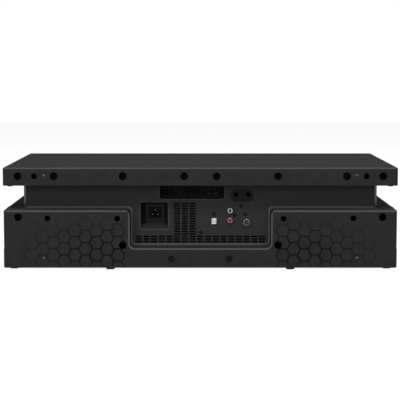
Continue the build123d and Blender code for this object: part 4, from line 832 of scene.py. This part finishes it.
def sharpen(mesh):
    """Marks edges that turn more than the smooth angle as sharp, and shades the rest smooth."""
    work = bmesh.new()
    work.from_mesh(mesh)
    sharp = {e.index for e in work.edges if len(e.link_faces) == 2 and e.calc_face_angle(0) > smooth_angle}
    work.free()
    marks = mesh.attributes.get("sharp_edge") or mesh.attributes.new("sharp_edge", "BOOLEAN", "EDGE")
    marks.data.foreach_set("value", [e.index in sharp for e in mesh.edges])
    mesh.polygons.foreach_set("use_smooth", [True] * len(mesh.polygons))


for row in frame["record"]["subparts"]:
    item = nodes[row["node"]]
    item.data.materials.clear()
    item.data.materials.append(finishes[own_finish.get(row["node"], row["material_slot"])])
    sharpen(item.data)
print("dressed", len(nodes), "nodes")

# %% [markdown]
# ## Screws
# The CAD model has each screw as two plain cylinders. Here each gets a domed head with a cross recess and
# a winding thread. One screw is a row of rings of points round its axis, where the radius or the height of
# each point is given by a small formula. It is made anew at every place. The places are read from the CAD
# screws, so they can't drift apart, and five small screws near the sockets are added from the photograph.

# %% The shape of one screw
head_radius = 0.0034
head_height = 0.0022
dome_drop = 0.45
cross_half = 0.00042
cross_reach = 0.0019
cross_depth = 0.0013
shank_radius = 0.0014
thread_root = 0.8
thread_pitch = 0.0012
tip_length = 0.0015
tip_share = 0.1
around = 24
head_rings = 11
rings_per_turn = 4
cover_screw_length = 0.0118
neck_screw_length = 0.003


def head_rise(across, up):
    """How far the head stands up at a place on it, with the cross sunk into it."""
    away = math.hypot(across, up) / head_radius
    dome = head_height * (1 - dome_drop * away ** 3)
    thin, long = sorted((abs(across), abs(up)))
    in_cross = thin < cross_half and long < cross_reach
    return dome - cross_depth if in_cross else dome


def shank_swell(angle, depth):
    """The radius of the threaded shank at an angle and a depth."""
    turn = (depth / thread_pitch + angle / (2 * math.pi)) % 1.0
    return shank_radius * (thread_root + 2 * (1 - thread_root) * abs(turn - 0.5))


def circle(radius):
    """Places (across, up) round a circle."""
    angles = (2 * math.pi * k / around for k in range(around))
    return [(radius * math.cos(a), radius * math.sin(a)) for a in angles]


def screw_points(length):
    """Rings of points from the middle of the head, over its rim and down the shank."""
    rings = []
    for ring in range(head_rings):
        rings.append([(x, head_rise(x, z), z) for x, z in circle(head_radius * ring / (head_rings - 1))])
    rings.append([(x, 0.0, z) for x, z in circle(head_radius)])
    steps = int(length / thread_pitch * rings_per_turn)
    for step in range(steps + 1):
        depth = length * step / steps
        ring = []
        for k in range(around):
            angle = 2 * math.pi * k / around
            radius = shank_swell(angle, depth) * min(1.0, (length - depth) / tip_length + tip_share)
            ring.append((radius * math.cos(angle), -depth, radius * math.sin(angle)))
        rings.append(ring)
    return rings


print("one screw has", len(screw_points(cover_screw_length)), "rings")


# %% A piece from points, in place of a CAD node
def clean_piece(name, points, faces, finish, body, node):
    """Joins double points, turns the faces outwards, and lets the piece ride in place of a CAD node."""
    mesh = bpy.data.meshes.new(name)
    mesh.from_pydata(points, [], faces)
    work = bmesh.new()
    work.from_mesh(mesh)
    bmesh.ops.remove_doubles(work, verts=work.verts, dist=0.000001)
    bmesh.ops.dissolve_degenerate(work, edges=work.edges, dist=0.0000005)
    bmesh.ops.recalc_face_normals(work, faces=work.faces)
    work.to_mesh(mesh)
    work.free()
    mesh.materials.append(finish)
    sharpen(mesh)
    item = bpy.data.objects.new(name, mesh)
    bpy.context.scene.collection.objects.link(item)
    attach(item, body)
    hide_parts(node)
    return item


# %% Where the screws sit
def islands(mesh):
    """The boxes round the separate solids of a mesh."""
    work = bmesh.new()
    work.from_mesh(mesh)
    work.verts.ensure_lookup_table()
    seen, boxes = set(), []
    for start in work.verts:
        if start.index in seen:
            continue
        stack, island = [start], []
        seen.add(start.index)
        while stack:
            vert = stack.pop()
            island.append(vert.co.copy())
            for edge in vert.link_edges:
                other = edge.other_vert(vert)
                if other.index not in seen:
                    seen.add(other.index)
                    stack.append(other)
        boxes.append([[f(v[k] for v in island) for k in range(3)] for f in (min, max)])
    work.free()
    return boxes


neck_screws = [(-0.0246, 0.0965), (-0.0623, 0.0939), (-0.0741, 0.1109), (-0.0816, 0.0957), (-0.0007, 0.063)]
neck_sink = 0.0006

seats = []
for low, high in islands(nodes["cover_screws"].data):
    seats.append(((low[0] + high[0]) / 2, high[1] - head_height, (low[2] + high[2]) / 2, cover_screw_length))
seats += [(x, neck_y - neck_sink, z, neck_screw_length) for x, z in neck_screws]
print(len(seats), "screws")

# %% Make them as one piece
points, faces = [], []
for x, y, z, length in seats:
    rings = screw_points(length)
    first = len(points)
    points += [(x + px, y + py, z + pz) for ring in rings for px, py, pz in ring]
    for ring in range(len(rings) - 1):
        for k in range(around):
            a, b = first + ring * around + k, first + ring * around + (k + 1) % around
            faces.append((a, a + around, b + around, b))
    faces.append([first + (len(rings) - 1) * around + k for k in range(around)])
rear_screws = clean_piece(
    "rear_screws", points, faces, finishes["black_steel"], "cabinet", "cover_screws")
print("screws have", len(rear_screws.data.polygons), "faces")

# %% [markdown]
# ## Knobs
# A smooth knob slips in the fingers, so real ones have fine grooves round the rim and a sunk line that
# shows where they point. Each knob is turned like the CAD one, from a profile of radius and distance
# behind the front. A formula then cuts the grooves into the rim and the line into the face. Cut into the
# points rather than drawn as a bump, they also rib the outline, which shows from the side.

# %% Turn a knob about an axis along Y
face_inset = 0.0015
face_rings = 24
rim_inset, rim_chamfer = 0.0005, 0.001
groove_inset, groove_run, groove_depth = 0.00045, 0.0004, 0.0003
points_per_groove = 4
line_depth = 0.0004
skirt_wall, skirt_draft, boss_wall, hollow_floor = 0.002, 0.0004, 0.002, 0.0024


def knob_profile(node, length, hollow, shaft):
    """Places of (radius, distance behind the front, share of the groove's depth) from face to shaft."""
    low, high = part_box(node)
    radius, whole = (high[0] - low[0]) / 2, high[1] - low[1]
    face = radius - face_inset
    places = [(face * step / face_rings, 0.0, 0.0) for step in range(face_rings + 1)]
    places += [(radius - rim_inset, rim_chamfer, 0.0), (radius - groove_inset, rim_chamfer + groove_run, 1.0)]
    places += [(radius, length - groove_run, 1.0), (radius, length, 0.0)]
    if hollow:
        places += [(radius - skirt_wall, length, 0.0), (radius - skirt_wall - skirt_draft, hollow_floor, 0.0)]
        places += [(shaft + boss_wall, hollow_floor, 0.0), (shaft + boss_wall, length, 0.0)]
    return places + [(shaft, length, 0.0), (shaft, whole, 0.0), (0.0, whole, 0.0)]


def turned_knob(node, length, hollow, shaft, grooves):
    """A grooved knob in place of a plain CAD one."""
    low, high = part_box(node)
    x, z = middle_of(node)
    radius = (high[0] - low[0]) / 2
    start, end = (radius * share for share in pointer_share[node])
    spots, count = [], grooves * points_per_groove
    profile = knob_profile(node, length, hollow, shaft)
    for reach, back, cut in profile:
        for k in range(count):
            angle = 2 * math.pi * k / count
            r = reach - cut * groove_depth * (0.5 - 0.5 * math.cos(grooves * angle))
            across, up = r * math.sin(angle), r * math.cos(angle)
            sunk = back == 0 and abs(across) < pointer_half and start < up < end
            spots.append((x + across, low[1] + back + (line_depth if sunk else 0.0), z + up))
    sides = []
    for ring in range(len(profile) - 1):
        for k in range(count):
            a, b = ring * count + k, ring * count + (k + 1) % count
            sides.append((a, b, b + count, a + count))
    clean_piece("turned_" + node, spots, sides, finishes[node], node, node)


# %% Grooved knobs on the front
turned_knob("volume_knob", length=0.0084, hollow=True, shaft=0.003, grooves=72)
turned_knob("level_knob", length=0.007, hollow=False, shaft=0.0025, grooves=36)
print("two grooved knobs")
